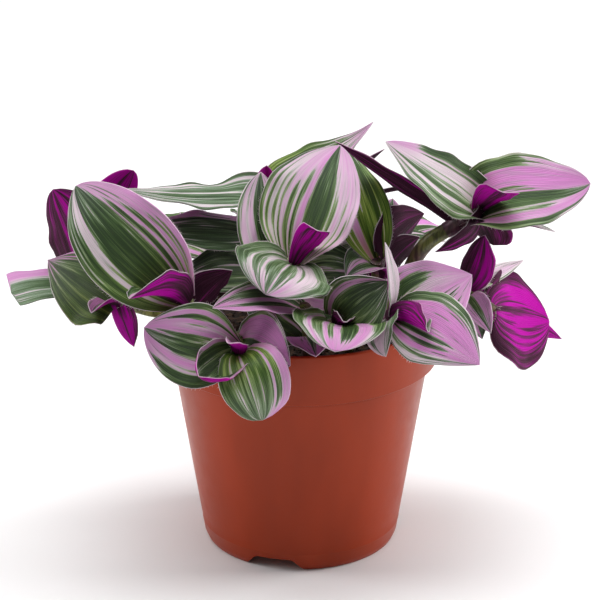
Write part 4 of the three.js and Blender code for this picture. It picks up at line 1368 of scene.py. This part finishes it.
    def add_stem(self, shoot_row):
        """The stem, swollen at its leaves, and a sheath with a hairy mouth below each leaf."""
        stem = [np.array(point, float) for point in shoot_row["stem"]]
        radius, flush = shoot_row["radius"], shoot_row["flush"]
        shares = np.linspace(0, 1, STEM_STEPS + 1)
        points = np.array([stem_point(stem, share) for share in shares])
        places = {row["at"] / (len(stem) - 1) for row in shoot_row["leaves"]}
        swelling = sum(np.exp(-(((shares - place) / STEM_SWELLING_LENGTH) ** 2)) for place in places)
        thick = radius * (STEM_SLIM + STEM_SWELLING * np.minimum(swelling, 1))
        self.add_path(points, thick * (1 - STEM_THINNING * smooth_share(shares, 0.9, 1)), flush)
        length = np.linalg.norm(np.diff(points, axis=0), axis=1).sum()
        flare = smooth_share(np.linspace(0, 1, SHEATH_STEPS), 0, 1)
        for place in sorted(places):
            sheath = np.linspace(place - SHEATH_LENGTH / length, place, SHEATH_STEPS)
            path = np.array([stem_point(stem, share) for share in sheath])
            self.add_path(path, radius * (1.0 + SHEATH_FLARE * flare), min(1, flush + SHEATH_FLUSH))
            seed = place + shoot_row["stem"][0][0]
            self.add_mouth_hairs(path[-1], unit(path[-1] - path[-2]), radius * 1.2, seed)

    def add_mouth_hairs(self, centre, ahead, radius, seed):
        """A ring of longer hairs round the mouth of a sheath."""
        dice = np.random.RandomState(int(abs(seed) * 37) + 3)
        turns = dice.uniform(0, 2 * math.pi, MOUTH_HAIRS)
        helper = unit(np.cross(ahead, (0.3, 0.9, 0.2)))
        other = np.cross(ahead, helper)
        outward = np.cos(turns)[:, None] * helper + np.sin(turns)[:, None] * other
        lean = unit(ahead + dice.uniform(0.15, 0.8, (MOUTH_HAIRS, 1)) * outward)
        lengths = self.hair.length / MM * dice.uniform(1.2, 2.4, MOUTH_HAIRS)
        self.add_points(centre + radius * outward, lean, hair=lengths)

    def to_object(self, name, materials):
        """What was gathered as a mesh object in metres, with its values as attributes."""
        mesh = bpy.data.meshes.new(name)
        mesh.from_pydata(np.concatenate(self.points) * MM, self.edges, self.faces)
        mesh.polygons.foreach_set("use_smooth", [True] * len(mesh.polygons))
        mesh.polygons.foreach_set("material_index", self.sides)
        layer = mesh.uv_layers.new(name="blade")
        layer.data.foreach_set("uv", np.array(self.corners, np.float32).ravel())
        for label, store in self.values.items():
            scale = MM if label in ("thick", "hair") else 1.0
            attribute = mesh.attributes.new(label, "FLOAT", "POINT")
            attribute.data.foreach_set("value", (np.concatenate(store) * scale).astype(np.float32))
        lean = mesh.attributes.new("lean", "FLOAT_VECTOR", "POINT")
        lean.data.foreach_set("vector", np.concatenate(self.lean).astype(np.float32).ravel())
        for material in materials:
            mesh.materials.append(material)
        return link(bpy.data.objects.new(name, mesh))


def shoot_tree(stem, hair):
    """Sweeps tubes along the stem paths and sets a hair on each root."""
    tree, nodes, source = new_tree("stems and hairs", {"Stem sides": "Int", "Hair radius": "Float"})

    def named(name, kind="FLOAT"):
        """A value that each point carries."""
        node = nodes.add("GeometryNodeInputNamedAttribute", {"Name": name}, data_type=kind)
        return node.outputs[0]

    def positive(name):
        """Which points have more than nothing of a value."""
        return nodes.calc("GREATER_THAN", named(name), 0.0)

    paths = nodes.add("GeometryNodeSeparateGeometry", {
        "Geometry": source["Geometry"], "Selection": positive("thick")})
    roots = nodes.add("GeometryNodeSeparateGeometry", {
        "Geometry": paths.outputs[1], "Selection": positive("hair")})
    curves = nodes.add("GeometryNodeMeshToCurve", {"Mesh": paths.outputs[0]})
    ring = nodes.add(
        "GeometryNodeCurvePrimitiveCircle", {"Resolution": source["Stem sides"], "Radius": 1.0})
    tubes = nodes.add("GeometryNodeCurveToMesh", {
        "Curve": curves.outputs[0], "Profile Curve": ring.outputs[0], "Scale": named("thick"),
        "Fill Caps": True,
    })
    cone = nodes.add("GeometryNodeMeshCone", {
        "Vertices": 3, "Radius Top": 0.0, "Radius Bottom": source["Hair radius"], "Depth": 1.0})
    turn = nodes.add(
        "FunctionNodeAlignRotationToVector", {"Vector": named("lean", "FLOAT_VECTOR")}, axis="Z")
    hairs = nodes.add("GeometryNodeInstanceOnPoints", {
        "Points": roots.outputs[0], "Instance": cone.outputs["Mesh"], "Rotation": turn.outputs[0],
        "Scale": nodes.vector(1.0, 1.0, named("hair")),
    })
    joined = nodes.add("GeometryNodeJoinGeometry")
    for part in (hairs.outputs[0], tubes.outputs[0], roots.outputs[1]):
        tree.links.new(part, joined.inputs[0])
    real = nodes.add("GeometryNodeRealizeInstances", {"Geometry": joined.outputs[0]})
    stems = nodes.add("GeometryNodeSetMaterial", {
        "Geometry": real.outputs[0], "Selection": positive("thick"), "Material": stem})
    painted = nodes.add("GeometryNodeSetMaterial", {
        "Geometry": stems.outputs[0], "Selection": positive("hair"), "Material": hair})
    smooth = nodes.add("GeometryNodeSetShadeSmooth", {"Geometry": painted.outputs[0]})
    nodes.add("NodeGroupOutput", {"Geometry": smooth.outputs[0]})
    return tree


class PLANT_OT_shoots(bpy.types.Operator):
    """Makes the leafy shoots, one piece each, with striped leaves, sheathed stems and fine hairs"""

    bl_idname = "plant.shoots"
    bl_label = "Shoots"

    def execute(self, context):
        settings, hair = context.scene.plant_leaf, context.scene.plant_hair
        sides = [upper_material(settings), under_material(settings)]
        tree = shoot_tree(stem_material(settings), hair_material())
        number = 0
        for row in SHOOTS:
            gathered = ShootMesh(settings, hair)
            stem = [np.array(point, float) for point in row["stem"]]
            for leaf_row in row["leaves"]:
                number += 1
                base = stem_point(stem, leaf_row["at"] / (len(stem) - 1))
                seed = leaf_row.get("seed", SEED_STEP * number)
                gathered.add_blade(leaf_row, base, row["radius"], seed)
            gathered.add_stem(row)
            piece = gathered.to_object("leafy_" + row["name"], sides)
            apply_tree(piece, tree, {"Stem sides": STEM_SIDES, "Hair radius": hair.radius})
            hand_over(piece, row["name"])
        return {"FINISHED"}


# Stage


def make_floor(settings):
    """The floor, a little below the pot."""
    far, low = FLOOR_HALF_SIZE, -FLOOR_DROP
    corners = [(-far, -far, low), (far, -far, low), (far, far, low), (-far, far, low)]
    floor = smooth_mesh("floor", corners, [(0, 1, 2, 3)], floor_material(settings))


def make_surround(strength):
    """A world that lights the plant softly, and that the camera sees as plain white."""
    world = bpy.data.worlds.new("white surround")
    world.use_nodes = True
    nodes = Nodes(world.node_tree)
    lighting = world.node_tree.nodes["Background"]
    lighting.inputs["Color"].default_value = (1, 1, 1, 1)
    lighting.inputs["Strength"].default_value = strength
    seen = nodes.add("ShaderNodeBackground", {"Color": (1, 1, 1, 1)})
    camera_ray = nodes.add("ShaderNodeLightPath").outputs["Is Camera Ray"]
    choice = nodes.blend(camera_ray, lighting, seen)
    nodes.feed(world.node_tree.nodes["World Output"].inputs["Surface"], choice)
    return world


def make_light(name, place, aim, size, power):
    """A soft rectangular light that is turned to its aim."""
    light = bpy.data.lights.new(name, "AREA")
    light.shape = "RECTANGLE"
    light.size, light.size_y = size
    light.energy = power
    lamp = link(bpy.data.objects.new(name, light))
    lamp.location = place
    lamp.rotation_euler = (Vector(aim) - Vector(place)).to_track_quat("-Z", "Y").to_euler()


def make_camera():
    """The camera at the photograph's viewing angle."""
    data = bpy.data.cameras.new("camera")
    data.lens = CAMERA_LENS
    data.sensor_width = CAMERA_SENSOR
    data.clip_end = CAMERA_REACH
    camera = link(bpy.data.objects.new("camera", data))
    camera.location = CAMERA_PLACE
    camera.rotation_euler = (math.radians(90 - CAMERA_DOWN), 0, 0)
    return camera


class PLANT_OT_stage(bpy.types.Operator):
    """Makes the pale floor, the soft studio lights and the camera"""

    bl_idname = "plant.stage"
    bl_label = "Stage"

    def execute(self, context):
        settings = context.scene.plant_stage
        make_floor(settings)
        context.scene.world = make_surround(settings.surround)
        for light in LIGHTS:
            make_light(*light)
        context.scene.camera = make_camera()
        context.scene.view_settings.view_transform = "Standard"
        return {"FINISHED"}


# Panel


class PLANT_PT_panel(bpy.types.Panel):
    """Lists the plant's settings and the buttons that make its pieces"""

    bl_idname = "PLANT_PT_panel"
    bl_label = "Potted tradescantia"
    bl_space_type = "VIEW_3D"
    bl_region_type = "UI"
    bl_category = "Plant"

    def draw(self, context):
        for name, group in SETTINGS.items():
            box = self.layout.box()
            box.label(text=group.__doc__)
            settings = getattr(context.scene, name)
            for key in group.__annotations__:
                box.prop(settings, key)
        for operator in OPERATORS:
            self.layout.operator(operator.bl_idname)


OPERATORS = (PLANT_OT_stage, PLANT_OT_pot, PLANT_OT_soil, PLANT_OT_shoots)


def register():
    """Registers the settings, operators and panel."""
    for cls in (*SETTINGS.values(), *OPERATORS, PLANT_PT_panel):
        bpy.utils.register_class(cls)
    for name, group in SETTINGS.items():
        setattr(bpy.types.Scene, name, PointerProperty(type=group))


def unregister():
    """Takes back what register did."""
    for name in SETTINGS:
        delattr(bpy.types.Scene, name)
    for cls in (PLANT_PT_panel, *reversed(OPERATORS), *reversed(list(SETTINGS.values()))):
        bpy.utils.unregister_class(cls)


def main():
    """Makes the plant on its stage."""
    register()
    bpy.ops.plant.stage()
    bpy.ops.plant.pot()
    bpy.ops.plant.soil()
    bpy.ops.plant.shoots()


if __name__ == "__main__":
    main()
